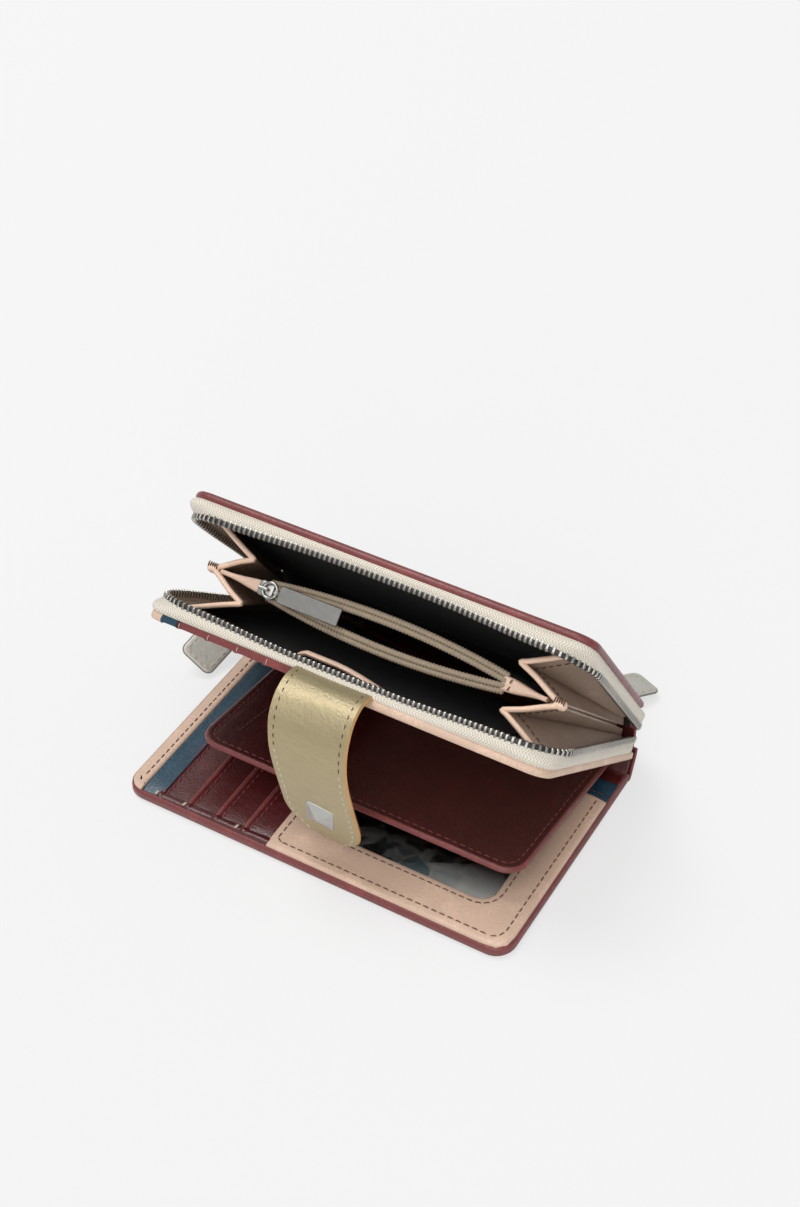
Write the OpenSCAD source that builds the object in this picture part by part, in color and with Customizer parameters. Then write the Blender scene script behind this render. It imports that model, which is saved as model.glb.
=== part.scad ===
// Coupon organizer wallet: a book of a front cover with card slots and an
// identity window, a loose middle flap, and a zip-around pouch that ends in
// the back cover. It stands open as a fan, resting on the front cover.
// X runs along the spine, Y from the free edge to the spine, Z up.
// The origin is the middle of the front cover's underside.

/* [Covers] */
// Width of both covers, along the spine
cover_w = 150; // [140:1:165]
// Depth of the front cover, from its free edge to the lower fold
cover_d = 93; // [90:1:100]
// Radius of the covers' free corners
cover_r = 7.5; // [4:0.5:12]
// Thickness of an outer leather skin
skin_t = 1.2; // [0.8:0.1:1.6]
// Thickness of a stiffening board
board_t = 1.2; // [0.8:0.1:1.6]
// Thickness of a lining sheet
lining_t = 0.6; // [0.4:0.1:0.8]
// Width of the turned leather edge that frames a cover
rim_w = 1; // [0.8:0.1:1.5]
// Height of the turned edge above the lining of the front cover
rim_lip = 1; // [0.5:0.1:1.5]

/* [Card side] */
// Thickness of the tan leather of the identity frame
frame_t = 2.5; // [2.3:0.1:3]
// Place of the teal strip's left edge
teal_x = -68; // [-69:0.5:-66]
// Place of the first card slot's folded edge
slot_x = -62; // [-64:0.5:-60]
// Step from one card slot to the next
slot_step = 11.5; // [10:0.5:11.5]
// Thickness of one card slot's folded leather
slot_t = 0.55; // [0.4:0.05:0.6]
// Left edge of the identity frame
frame_x = -17; // [-17:0.5:-12]
// Back edge of the identity frame
frame_back = 28.5; // [24:0.5:32]
// Back edge of the teal band beside the gutter
band_back = 38; // [35:0.5:40]
// Left edge of the identity window
window_x = -6; // [-8:0.5:-2]
// Width of the identity window
window_w = 66.5; // [55:0.5:68]
// Front edge of the identity window
window_y = -31.5; // [-34:0.5:-28]
// Depth of the identity window
window_d = 47; // [40:0.5:50]
// Corner radius of the identity window
window_r = 5.5; // [3:0.5:8]
// Thickness of the clear window film
film_t = 0.3; // [0.2:0.05:0.4]

/* [Spine] */
// Height of the lower half of the spine strip
strip_h = 12.3; // [11:0.1:12.4]
// Thickness of the spine leather
strip_t = 1.5; // [1:0.1:2]
// Height of the spine's upper fold above the table
fold_h = 30.9; // [29:0.1:31]

/* [Middle flap] */
// Width of the middle flap
flap_w = 125; // [110:1:130]
// Depth of the middle flap
flap_d = 70; // [60:1:74]
// Thickness of the middle flap
flap_t = 2.4; // [1.8:0.1:2.6]
// Corner radius of the middle flap
flap_r = 8; // [5:0.5:10]
// Tilt of the middle flap
flap_tilt = 8.2; // [6:0.1:10]

/* [Pouch] */
// Tilt of the pouch's lower wall
lower_tilt = 37.9; // [36:0.1:40]
// Tilt of the back cover
back_tilt = 55.1; // [54:0.1:57]
// Depth of the pouch's lower wall
lower_d = 91.2; // [85:0.2:92]
// Depth of the back cover
back_d = 81.1; // [76:0.1:82]
// Distance of the zip from the edge of a wall
zip_inset = 2; // [1.5:0.1:3]
// Corner radius of the zip
zip_r = 14; // [10:0.5:20]
// Thickness of the zip tape
tape_t = 0.9; // [0.6:0.1:1]
// Width of the zip tape that stands above a wall
tape_h = 3.6; // [3:0.1:3.8]
// Width of the metal teeth across the tape
teeth_w = 2.6; // [2:0.1:3]
// Height of the metal teeth
teeth_h = 1.4; // [1:0.1:1.5]
// Place of the zip's ends on the spine side
zip_end_x = 36; // [34:1:50]

/* [Coin pocket] */
// Width of the coin pocket
coin_w = 96; // [80:1:100]
// Middle of the coin pocket along the spine
coin_x = 6; // [0:0.5:8]
// Depth of the coin pocket's walls
coin_d = 66; // [56:1:67]
// Half of the coin pocket's gap at its middle
coin_gap = 4; // [3:0.1:4.1]
// Thickness of the coin pocket's walls and zip tapes
coin_t = 0.6; // [0.4:0.1:0.8]
// Width of the coin zip's tapes
coin_tape_h = 7.5; // [6:0.5:8]

/* [Strap] */
// Width of the strap
strap_w = 28.2; // [24:0.2:32]
// Length of the strap from the seam to its tip
strap_l = 70; // [66:1:74]
// Thickness of the strap
strap_t = 2; // [1.6:0.1:2.4]
// Middle of the strap along the spine
strap_x = 2; // [-6:0.2:4]
// Radius of the strap's bend beside the seam
strap_bend_r = 14.6; // [13:0.1:16]
// Side of the square stud
stud_side = 10.5; // [9:0.5:12]
// Height of the square stud
stud_h = 2.6; // [2:0.1:3]
// Radius of the snap's socket in the front cover
socket_r = 6; // [5:0.5:7]
// Place of the snap's socket from the middle of the front cover
socket_y = -13; // [-16:0.5:-10]

/* [Zip pulls] */
// Length of the leather pull tags
tag_l = 36; // [30:1:37]
// Width of the leather pull tags
tag_w = 14; // [12:0.5:15]
// Thickness of the leather pull tags
tag_t = 1; // [0.8:0.1:1.2]
// Length of the coin zip's metal plate
plate_l = 24; // [20:1:26]
// Width of the coin zip's metal plate
plate_w = 6; // [5:0.5:7]

/* [Hidden] */
$fn = 48;

// Overlap of a cut beyond the face it opens
cut = 1;
// Small clearance between pieces that move past each other
clear = 0.3;
burgundy = "#6e2a2f";
tan = "#c9a48c";
teal = "#2f5566";
cream = "#d3c8b4";
lining = "#2b2a2c";
gold = "#a8986c";
steel = "#9a9c9e";

// The front cover's layers, from the table up
cover_front = -47.5;
board_z = skin_t;
lining_z = board_z + board_t;
panel_z = lining_z + lining_t;
cover_back = cover_front + cover_d - clear;
layers_back = cover_back - 1.8;
inner_x = cover_w / 2 - rim_w;
inner_front = cover_front + rim_w;
slots = 4;

// The lower fold of the spine, and the outer faces of the tilted walls:
// each plane has its hinge point in Y and Z, and a tilt about X
fold_y = cover_front + cover_d;
lower_o = [0, fold_y + 1.45, 9.45];
back_o = [0, fold_y + 10.74, 27.39];
flap_o = [0, fold_y + 3.77, 8.6];
// Where the zip's rows meet: the pouch opens about this line
row_s = -3.5;
row_n = 8.85;
mid_tilt = (lower_tilt + back_tilt) / 2;
pivot = [0,
    lower_o.y - row_s * cos(lower_tilt) + row_n * sin(lower_tilt),
    lower_o.z + row_s * sin(lower_tilt) + row_n * cos(lower_tilt)];

// The walls: a wall starts a little way from its hinge line
wall_t = skin_t + board_t + lining_t;
lower_start = 2;
lower_end = lower_start + lower_d;
back_start = 6.8;
back_end = back_start + back_d;
flap_start = 2.7;
flap_end = flap_start + flap_d + 5.3;
tape_top = wall_t + tape_h;
teeth_top = tape_top + teeth_h;
zip_x = cover_w / 2 - zip_inset;
zip_back_r = 4;
lower_row_back = row_s + 1.3;
back_row_back = -8.8;
loose_tape_h = 2;

// The coin pocket, measured from the pivot along the middle plane
coin_start = 15;
coin_end = coin_start + coin_d;
coin_half = coin_w / 2;
coin_arc_r = (coin_half * coin_half + coin_gap * coin_gap) / (2 * coin_gap);
tape_end = coin_end + coin_tape_h;
tab_l = 12;
tab_t = 2.6;
tab_overlap = 1.5;
web_t = 1;

// Gussets: a folded V on each side of the coin pocket, at both ends
gusset_t = 0.9;
gusset_start = 16;
gusset_end = 84;
gusset_edge_x = cover_w / 2 - 3.6;
gusset_root_left = 57;
gusset_root_right = 67.8;
gusset_corner = 0.75 * gusset_t;
crease_gap = 0.12;
web_gap = 1.8;
fold_left = [46.5, 7.6];
fold_right = [52, 8];

// The strap's centre line: a bend beside the seam, then a straight fall
strap_from = -20;
strap_to = 98;
strap_root = [lower_o.y - (lower_end + 0.9) * cos(lower_tilt) + 2.6 * sin(lower_tilt),
    lower_o.z + (lower_end + 0.9) * sin(lower_tilt) + 2.6 * cos(lower_tilt)];
strap_bend_l = strap_bend_r * (strap_to - strap_from) * PI / 180;
strap_knee = [strap_root.x - strap_bend_r * (sin(strap_to) - sin(strap_from)),
    strap_root.y - strap_bend_r * (cos(strap_from) - cos(strap_to))];
strap_fall = strap_l - strap_bend_l;
bend_steps = 14;

// The zip sliders: two plates with a post between the rows
slider_l = 10;
slider_plate = 0.8;
slider_half = 2.8;
slider_low = 5.9;
slider_high = 13;
post_low = teeth_top + clear;
post_h = 1.1;
post_l = 1.6;
left_slider_y = -1;
right_slider_x = zip_end_x + 3;
ring_r = 2.6;
wire_r = 0.5;

// A rectangle with its lower two corners rounded by exact arcs
module tab_shape(left, right, front, back, r) {
    translate([left, front + r]) square([right - left, back - front - r]);
    translate([left + r, front]) square([right - left - 2 * r, r + cut / 10]);
    for (x = [left + r, right - r]) translate([x, front + r]) circle(r);
}

// A rectangle with four rounded corners
module round_shape(left, right, front, back, r) {
    translate([left, front + r]) square([right - left, back - front - 2 * r]);
    translate([left + r, front]) square([right - left - 2 * r, back - front]);
    for (x = [left + r, right - r], y = [front + r, back - r])
        translate([x, y]) circle(r);
}

// A plate of that thickness, from z up
module plate(z, t) {
    translate([0, 0, z]) linear_extrude(t) children();
}

// The frame of a tilted wall: y runs back to the hinge, z is the normal
module tilted(origin, tilt) {
    translate(origin) rotate([-tilt, 0, 0]) children();
}

module in_lower() { tilted(lower_o, lower_tilt) children(); }
module in_back() { tilted(back_o, back_tilt) children(); }
module in_flap() { tilted(flap_o, flap_tilt) children(); }
module in_mid() { tilted(pivot, mid_tilt) children(); }

// A tray: a skin with a turned edge on its three free sides
module tray(front, back, skin, edge) {
    difference() {
        plate(0, edge) tab_shape(-cover_w / 2, cover_w / 2, front, back, cover_r);
        plate(skin, edge) tab_shape(-inner_x, inner_x, front + rim_w, back + cut,
            cover_r - rim_w);
    }
}

// The layout that the front cover and the pouch's lower wall share
function slot_left(k) = slot_x + k * slot_step;

module left_strips(front, back, left, right) {
    tab_shape(left, right, front, back, 0.4);
}

module front_cover_shell() {
    color(burgundy) difference() {
        tray(cover_front, cover_back, skin_t, panel_z + rim_lip);
        translate([strap_x, socket_y, -cut]) cylinder(r = socket_r, h = skin_t + cut);
        translate([-cover_w, layers_back, skin_t]) cube([2 * cover_w, cover_r, cover_r]);
    }
}

module front_cover_board() {
    color("#b9b2a4") plate(board_z, board_t)
        tab_shape(-inner_x, inner_x, inner_front, layers_back, cover_r - rim_w);
}

module front_cover_lining() {
    color(burgundy) plate(lining_z, lining_t)
        tab_shape(-inner_x, inner_x, inner_front, layers_back, cover_r - rim_w);
}

module tan_edge_shape(front, back) {
    difference() {
        tab_shape(-inner_x, inner_x, front, back, cover_r - rim_w);
        translate([teal_x, front - cut]) square([cover_w, cover_w]);
    }
}

module tan_edge_strip() {
    color(tan) plate(panel_z, frame_t - slot_t)
        tan_edge_shape(inner_front, frame_back);
}

module teal_slot() {
    color(teal) plate(panel_z, frame_t / 2)
        translate([teal_x, inner_front])
            square([slot_x - teal_x, frame_back - inner_front]);
}

// One folded slot edge, stepped up from the one before it
module card_slot(k, z, front, back) {
    color(burgundy) plate(z + k * slot_t, slot_t)
        translate([slot_left(k), front])
            square([frame_x - slot_left(k), back - front]);
}

module card_slot_1() { card_slot(0, panel_z, inner_front, frame_back); }
module card_slot_2() { card_slot(1, panel_z, inner_front, frame_back); }
module card_slot_3() { card_slot(2, panel_z, inner_front, frame_back); }
module card_slot_4() { card_slot(3, panel_z, inner_front, frame_back); }

module window_shape(grow) {
    round_shape(window_x - grow, window_x + window_w + grow, window_y - grow,
        window_y + window_d + grow, window_r + grow / 2);
}

module tan_panel_shape(front, back) {
    difference() {
        tab_shape(-inner_x, inner_x, front, back, cover_r - rim_w);
        translate([-cover_w, front - cut]) square([cover_w + frame_x, cover_w]);
    }
}

film_margin = 4;

module identity_frame() {
    color(tan) difference() {
        plate(panel_z, frame_t) tan_panel_shape(inner_front, frame_back);
        plate(panel_z - cut, frame_t + 2 * cut) window_shape(0);
        plate(panel_z - cut, 2 * film_t + cut) window_shape(film_margin);
    }
}

module window_film() {
    color("white", 0.3) plate(panel_z + film_t, film_t) window_shape(film_margin);
}

module window_lining() {
    color("#6d7a7c") plate(panel_z, film_t) window_shape(film_margin);
}

module teal_band() {
    color(teal) plate(panel_z, frame_t - 2 * slot_t)
        translate([-inner_x, frame_back])
            square([2 * inner_x, band_back - frame_back]);
}

module gutter_lining() {
    color(burgundy) plate(panel_z, skin_t)
        translate([-inner_x, band_back])
            square([2 * inner_x, layers_back - band_back]);
}

module snap_socket() {
    color(steel) translate([strap_x, socket_y, 0]) difference() {
        cylinder(r = socket_r - 0.05, h = skin_t);
        translate([0, 0, -cut]) cylinder(r = 2.2, h = skin_t - 0.3 + cut);
    }
}

// The spine strip's outline in Y and Z: up the outer face, down the inner
// one, with a narrow foot at the lower fold that turns on the front cover
spine_outline = [[fold_y, 1.35], [fold_y + 0.8, 2], [fold_y + 2, 5.5],
    [fold_y + 4.4, 10.6], [fold_y + 4.9, strip_h],
    [fold_y + 4.9 - strip_t, strip_h], [fold_y + 4.4 - strip_t, 10.6],
    [fold_y + 2 - strip_t, 5.5], [fold_y - 0.9, 2.7], [fold_y - 1.1, 1.6]];

// A profile in Y and Z, drawn out along X between two places
module drawn_out(left, right, points) {
    translate([left, 0, 0]) rotate([90, 0, 90])
        linear_extrude(right - left) polygon(points);
}

module spine_strip() {
    color(burgundy) drawn_out(-cover_w / 2, cover_w / 2, spine_outline);
}

module flap_leather(n, t) {
    in_flap() plate(n, t) tab_shape(-56.6, -56.6 + flap_w, -flap_end, -flap_start,
        flap_r);
}

module flap_upper_leather() { color(burgundy) flap_leather(-flap_t / 2, flap_t / 2); }
module flap_lower_leather() { color(burgundy) flap_leather(-flap_t, flap_t / 2); }

module lower_shape(grow) {
    tab_shape(-cover_w / 2 - grow, cover_w / 2 + grow, -lower_end - grow,
        -lower_start, cover_r + grow);
}

// The outer face of the lower wall is a mirror of the front cover's inside
module lower_strip(left, right) {
    intersection() {
        lower_shape(0);
        translate([left, -lower_end - cut]) square([right - left, lower_end + cut]);
    }
}

module pouch_wall_board() {
    color("#b9b2a4") in_lower() plate(skin_t, board_t) lower_shape(-rim_w / 2);
}

module pouch_tan_edge() {
    color(tan) in_lower() plate(0, skin_t) lower_strip(-cover_w / 2, teal_x);
}

module pouch_teal_slot() {
    color(teal) in_lower() plate(0, skin_t) lower_strip(teal_x, slot_x);
}

module pouch_card_slot(k) {
    color(burgundy) in_lower() plate(0, skin_t)
        lower_strip(slot_left(k), k == slots - 1 ? frame_x : slot_left(k + 1));
}

module pouch_card_slot_1() { pouch_card_slot(0); }
module pouch_card_slot_2() { pouch_card_slot(1); }
module pouch_card_slot_3() { pouch_card_slot(2); }
module pouch_card_slot_4() { pouch_card_slot(3); }

module pouch_tan_panel() {
    color(tan) in_lower() plate(0, skin_t) lower_strip(frame_x, cover_w / 2);
}

module pouch_lining() {
    color(lining) in_lower() plate(skin_t + board_t, lining_t)
        lower_shape(-rim_w / 2);
}

// The pouch's back wall: the upper half of the spine, with a foot that is
// sewn to the lower wall, cut away where the zip turns onto the spine
base_low = 13.1;
base_outline = [[fold_y + 5.1, base_low], [fold_y + 5.8, 16.2],
    [fold_y + 6.6, 23], [fold_y + 6.9, fold_h], [fold_y + 6.9 - strip_t, fold_h],
    [fold_y + 6.6 - strip_t, 23], [fold_y + 5.8 - strip_t, 17],
    [fold_y + 3.1, 14.9], [fold_y + 1.5, 14.5], [fold_y + 1, 13.8],
    [fold_y + 1.8, base_low]];
base_notch_z = 24;

module pouch_base() {
    color(burgundy) difference() {
        drawn_out(4 - cover_w / 2, cover_w / 2 - 4, base_outline);
        for (side = [-1, 1])
            translate([side * (zip_end_x - 4 + cover_w / 2), fold_y + cover_r + 2.6, 0])
                cube([cover_w, 2 * cover_r, 2 * base_notch_z], center = true);
    }
}

slip_left = -22;
slip_right = 50;
slip_start = 12;
slip_end = 86;

module slip_pocket() {
    color(lining) in_lower() plate(wall_t, lining_t)
        translate([slip_left, -slip_end]) square([slip_right - slip_left,
            slip_end - slip_start]);
}

module slip_pocket_binding() {
    color(tan) in_lower() plate(wall_t, 1.5 * lining_t)
        translate([slip_left, -slip_end - 2])
            square([slip_right - slip_left, 2 - 0.02]);
}

// A band along the zip's path: three sides, round the back corners, and a
// short way along the spine
module zip_band(front, back, w) {
    difference() {
        zip_outline(front, back, w / 2);
        zip_outline(front, back, -w / 2);
        translate([-zip_end_x, back - cover_r]) square([2 * zip_end_x, 2 * cover_r]);
    }
}

module zip_outline(front, back, grow) {
    x = zip_x + grow;
    difference() {
        tab_shape(-x, x, front - grow, back + grow, zip_r + grow);
        for (side = [-1, 1])
            translate([side * x, back + grow]) difference() {
                square(2 * (zip_back_r + grow), center = true);
                translate([-side * (zip_back_r + grow), -zip_back_r - grow])
                    circle(zip_back_r + grow);
            }
    }
}

// Keeps the part of a band in front of a place, or behind it
module ahead_of(y) {
    intersection() {
        children();
        translate([-cover_w, y - 2 * cover_w]) square(2 * cover_w);
    }
}

module behind(y) {
    intersection() {
        children();
        translate([-cover_w, y]) square(2 * cover_w);
    }
}

module zip_tape(front, wall_y, back) {
    plate(wall_t, tape_h) ahead_of(wall_y) zip_band(front, back, tape_t);
    plate(tape_top - loose_tape_h, loose_tape_h)
        behind(wall_y - cut / 100) zip_band(front, back, tape_t);
}

lower_front = -lower_end + zip_inset;
back_front = -back_end + zip_inset;

module lower_zip_tape() {
    color(cream) in_lower() zip_tape(lower_front, -lower_start, -lower_row_back);
}

module lower_zip_teeth() {
    color(steel) in_lower() plate(tape_top, teeth_h)
        zip_band(lower_front, -lower_row_back, teeth_w);
}

module back_cover_shell() {
    color(burgundy) in_back() mirror([0, 0, 1])
        tray(-back_end, -back_start, skin_t, wall_t);
}

module back_shape() {
    tab_shape(-inner_x, inner_x, -back_end + rim_w, -back_start, cover_r - rim_w);
}

module back_cover_board() {
    color("#b9b2a4") in_back() plate(-skin_t - board_t, board_t) back_shape();
}

module back_cover_lining() {
    color(lining) in_back() plate(-wall_t, lining_t) back_shape();
}

// The back cover's row stands a little shorter, so that the closed rows part
row_gap = 0.3;

module upper_zip_tape() {
    color(cream) in_back() translate([0, 0, row_gap]) mirror([0, 0, 1])
        intersection() {
            zip_tape(back_front, -back_start - row_gap, -back_row_back);
            translate([-cover_w, -cover_w, wall_t + row_gap]) cube(2 * cover_w);
        }
}

module upper_zip_teeth() {
    color(steel) in_back() plate(-teeth_top + row_gap, teeth_h)
        zip_band(back_front, -back_row_back, teeth_w);
}

// A shallow arc between the coin pocket's ends, bulging to +Y
module coin_arc(t, trim) {
    intersection() {
        difference() {
            circle(coin_arc_r, $fn = 360);
            circle(coin_arc_r - t, $fn = 360);
        }
        translate([-coin_half + trim, coin_arc_r - 3 * coin_gap])
            square([coin_w - 2 * trim, 3 * coin_gap]);
    }
}

// Stands an arc up along the middle plane, on the side of the lower wall
// (-1) or of the back cover (1)
module coin_sheet(side, from, to, t, trim) {
    in_mid() translate([coin_x, -from, 0]) rotate([90, 0, 0])
        linear_extrude(to - from) mirror([0, side < 0 ? 1 : 0])
            translate([0, coin_gap - coin_arc_r + clear]) coin_arc(t, trim);
}

wall_trim = 6;
tape_trim = 3;

module coin_wall_lower() {
    color(lining) coin_sheet(-1, coin_start, coin_end, coin_t, wall_trim);
}

module coin_wall_upper() {
    color(lining) coin_sheet(1, coin_start, coin_end, coin_t, wall_trim);
}

module coin_tape_lower() {
    color(cream) coin_sheet(-1, coin_end, tape_end, coin_t, tape_trim);
}

module coin_tape_upper() {
    color(cream) coin_sheet(1, coin_end, tape_end, coin_t, tape_trim);
}

// A leather tab folded over one end of the coin zip, and below it the web
// that holds the coin pocket's side between the two walls
module coin_tab(side, web_end) {
    tab_x = coin_x + side * (coin_half - tab_overlap);
    web_x = coin_x + side * (coin_half - wall_trim - 0.2);
    color(tan) in_mid() {
        translate([tab_x + side * tab_l / 2, -(coin_end + tape_end) / 2, 0])
            cube([tab_l, coin_tape_h, tab_t], center = true);
        translate([min(web_x, web_end), -coin_end - 1, -web_t / 2])
            cube([abs(web_end - web_x), coin_end + 1 - gusset_start, web_t]);
    }
}

module coin_tab_left() { coin_tab(-1, web_gap - gusset_root_left); }
module coin_tab_right() { coin_tab(1, gusset_root_right - web_gap); }

// Half of a gusset: a leather sheet folded inwards once, from the zip's tape
// (edge) to the crease beside the coin pocket (root). It narrows to the spine.
// Each corner is [x, distance from the pivot, height over the middle plane].
module gusset(side, up, fold, root_x) {
    edge_x = gusset_edge_x - gusset_corner / 2;
    root_n = crease_gap + gusset_corner / 2;
    from = gusset_start;
    to = gusset_end;
    near_edge = [side * edge_x, from, up * edge_n(from, up)];
    far_edge = [side * edge_x, to, up * edge_n(to, up)];
    near_fold = [side * (edge_x + fold.x) / 2 + side * (edge_x - fold.x) / 4, from,
        up * fold.y / 2];
    far_fold = [side * fold.x, to, up * fold.y];
    leather_leg(near_edge, near_fold, far_edge, far_fold);
    leather_leg(near_fold, [side * (root_x + 1), from, up * root_n],
        far_fold, [side * root_x, to, up * root_n]);
}

// Height over the middle plane of the gusset's edge, just inside the wall
function edge_n(s, up) = s * sin((back_tilt - lower_tilt) / 2) + row_n - wall_t
    - (up > 0 ? 2 : 1) * clear - gusset_corner / 2;

// Two triangles of leather between two near corners and two far ones
module leather_leg(near_a, near_b, far_a, far_b) {
    leather(near_a, near_b, far_b);
    leather(near_a, far_a, far_b);
}

module leather(a, b, c) {
    hull() for (p = [a, b, c])
        translate([p.x, -p.y, p.z]) cube(gusset_corner, center = true);
}

module gusset_left_lower() {
    color(tan) in_mid() gusset(-1, -1, fold_left, gusset_root_left);
}

module gusset_left_upper() {
    color(tan) in_mid() gusset(-1, 1, fold_left, gusset_root_left);
}

module gusset_right_lower() {
    color(tan) in_mid() gusset(1, -1, fold_right, gusset_root_right);
}

module gusset_right_upper() {
    color(tan) in_mid() gusset(1, 1, fold_right, gusset_root_right);
}

coin_slider_x = coin_x - coin_half + 4;
coin_slider_l = 6;
coin_slider_w = 5;
coin_slider_h = 2.4;
coin_top = tape_end + clear;
plate_t = 1;
eye_r = 1.25;
eye_hole_r = 0.75;
eye_half = 0.8;

// The wire's axis under the bridge, above the coin slider's top face
wire_h = 0.68;
hinge_x = coin_slider_x - 0.6;
bridge_low = 1.4;
bridge_high = 2.1;
bridge_half = 1.65;
leg_w = 0.9;

module coin_slider() {
    color(steel) in_mid() translate([0, -coin_top, 0]) {
        translate([coin_slider_x, -coin_slider_h / 2, 0])
            cube([coin_slider_l, coin_slider_h, coin_slider_w], center = true);
        for (side = [-1, 1])
            translate([hinge_x + side * (bridge_half - leg_w / 2),
                -coin_slider_h - bridge_high / 2 + cut / 20, 0])
                cube([leg_w, bridge_high + cut / 10, 2 * eye_half - 0.1], center = true);
        translate([hinge_x, -coin_slider_h - (bridge_low + bridge_high) / 2, 0])
            cube([2 * bridge_half, bridge_high - bridge_low, 2 * eye_half - 0.1],
                center = true);
    }
}

pull_s = coin_top + coin_slider_h + wire_h;

module coin_pull_ring() {
    color(steel) in_mid() translate([hinge_x + ring_r, -pull_s, 0])
        rotate([90, 0, 0]) wire_ring();
}

module wire_ring() {
    rotate_extrude() translate([ring_r, 0]) circle(wire_r, $fn = 24);
}

// A metal plate whose end is rolled round the ring
module coin_pull_plate() {
    color("silver") in_mid() translate([hinge_x + 2 * ring_r, -pull_s, 0]) {
        rotate([90, 0, 0]) linear_extrude(plate_t, center = true)
            round_shape(1, plate_l, -plate_w / 2, plate_w / 2, 0.8);
        difference() {
            cylinder(r = eye_r, h = 2 * eye_half, center = true);
            cylinder(r = eye_hole_r, h = 2 * eye_half + cut, center = true);
        }
    }
}

// Two plates either side of the zip, joined by a post between the rows.
// They run along -Y from 0; the outer one is on the side of -X.
module slider_plates() {
    for (side = [-1, 1])
        translate([side * (slider_half + slider_plate / 2), -slider_l / 2,
            (slider_low + slider_high) / 2])
            cube([slider_plate, slider_l, slider_high - slider_low], center = true);
    translate([-slider_half - cut / 10, -slider_l, post_low])
        cube([2 * slider_half + cut / 5, post_l, post_h]);
}

slider_out = slider_half + slider_plate;
pin_y = -2.5;
pin_z = 8;
pin_r = 0.6;
pin_l = 4.9;
head_r = 1.3;

// The left slider's pull hangs on a headed pin
module left_slider() {
    color(steel) in_lower() translate([-zip_x, left_slider_y, 0]) {
        slider_plates();
        translate([-slider_out - pin_l, pin_y, pin_z]) rotate([0, 90, 0])
            cylinder(r = pin_r, h = pin_l + 0.1);
        translate([-slider_out - pin_l - 0.6, pin_y, pin_z]) rotate([0, 90, 0])
            cylinder(r = head_r, h = 0.7);
    }
}

bail_out = 3.4;
bail_l = 6;

// The right slider lies behind the spine; its pull hangs on a bail
module right_slider() {
    color(steel) in_lower() translate([right_slider_x, -lower_row_back, 0]) {
        mirror([1, 1, 0]) slider_plates();
        translate([slider_l / 2 - bail_l / 2, slider_out + bail_out, row_n])
            rotate([0, 90, 0]) cylinder(r = pin_r, h = bail_l);
        for (end = [0, bail_l - 0.8])
            translate([slider_l / 2 - bail_l / 2 + end, slider_out - 0.1, row_n - pin_r])
                cube([0.8, bail_out + 0.1 + pin_r, 2 * pin_r]);
    }
}

// A place in the lower wall's frame, given in the frame of the whole
function from_lower(x, y, z) = [x,
    lower_o.y + y * cos(lower_tilt) + z * sin(lower_tilt),
    lower_o.z - y * sin(lower_tilt) + z * cos(lower_tilt)];
function unit(v) = v / norm(v);

left_pin = from_lower(-zip_x - slider_out - pin_l + 0.8, left_slider_y + pin_y, pin_z);
right_bar = from_lower(right_slider_x + slider_l / 2,
    -lower_row_back + slider_out + bail_out, row_n);

// The far ends of the two tags, and the way their width runs
left_tag_end = [-87.1, 14, 5.6];
left_tag_across = [-0.8, 0, 0.6];
right_tag_end = [60.5, 91.7, 2.2];
right_tag_across = [0.85, -0.51, 0.14];

// From a pin towards a tag's end, square to the pin
function hang(pin, end) = unit([0, end.y - pin.y, end.z - pin.z]);
ring_hang = ring_r - wire_r - pin_r - 0.1;

module pull_ring(pin, end) {
    translate(pin + ring_hang * hang(pin, end)) rotate([0, 90, 0]) wire_ring();
}

hole_in = 2.4;
tag_hole_r = 1.35;
root_r = 6.9;

module tag_shape() {
    difference() {
        union() {
            tab_shape(-tag_w / 2, tag_w / 2, hole_in - tag_l, -tag_w / 2, 2.5);
            translate([0, -tag_w / 2 - 1]) mirror([0, 1])
                tab_shape(-tag_w / 2, tag_w / 2, -tag_w / 2 - 1 - hole_in, 0, root_r);
        }
        circle(tag_hole_r);
    }
}

module pull_tag(pin, end, across) {
    at = pin + (ring_hang + ring_r) * hang(pin, end);
    back = unit(at - end);
    over = unit(across - back * (across * back));
    up = cross(over, back);
    multmatrix([[over.x, back.x, up.x, at.x], [over.y, back.y, up.y, at.y],
        [over.z, back.z, up.z, at.z]])
        linear_extrude(tag_t, center = true) tag_shape();
}

module left_pull_ring() { color(steel) pull_ring(left_pin, left_tag_end); }
module right_pull_ring() { color(steel) pull_ring(right_bar, right_tag_end); }

module left_pull_tag() {
    color("#b5b3a6") pull_tag(left_pin, left_tag_end, left_tag_across);
}

module right_pull_tag() {
    color("#b5b3a6") pull_tag(right_bar, right_tag_end, right_tag_across);
}

// Points of the strap's bend, that far from its centre line
function bend_at(angle, off) = [
    strap_root.x - strap_bend_r * (sin(angle) - sin(strap_from)) - off * sin(angle),
    strap_root.y - strap_bend_r * (cos(strap_from) - cos(angle)) + off * cos(angle)];
function bend_line(off) = [for (i = [0:bend_steps])
    bend_at(strap_from + (strap_to - strap_from) * i / bend_steps, off)];

module strap_base() {
    half = strap_t / 2;
    outer = bend_line(half);
    inner = bend_line(-half);
    color(gold) drawn_out(strap_x - strap_w / 2, strap_x + strap_w / 2,
        concat(outer, [for (i = [bend_steps:-1:0]) inner[i]]));
}

// The strap's straight fall: y runs down its length, z out of its face
module in_strap_tip() {
    translate([strap_x, strap_knee.x, strap_knee.y]) rotate([strap_to, 0, 0])
        children();
}

strap_gap = 0.4;

module strap_tip() {
    color(gold) in_strap_tip() plate(-strap_t / 2, strap_t)
        tab_shape(-strap_w / 2, strap_w / 2, -strap_fall, -strap_gap,
            strap_w / 2 - 0.1);
}

stud_at = strap_fall - strap_w / 2;

module stud() {
    color(steel) in_strap_tip() translate([0, -stud_at, strap_t / 2])
        linear_extrude(stud_h, scale = 0.45) square(stud_side, center = true);
}

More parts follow.
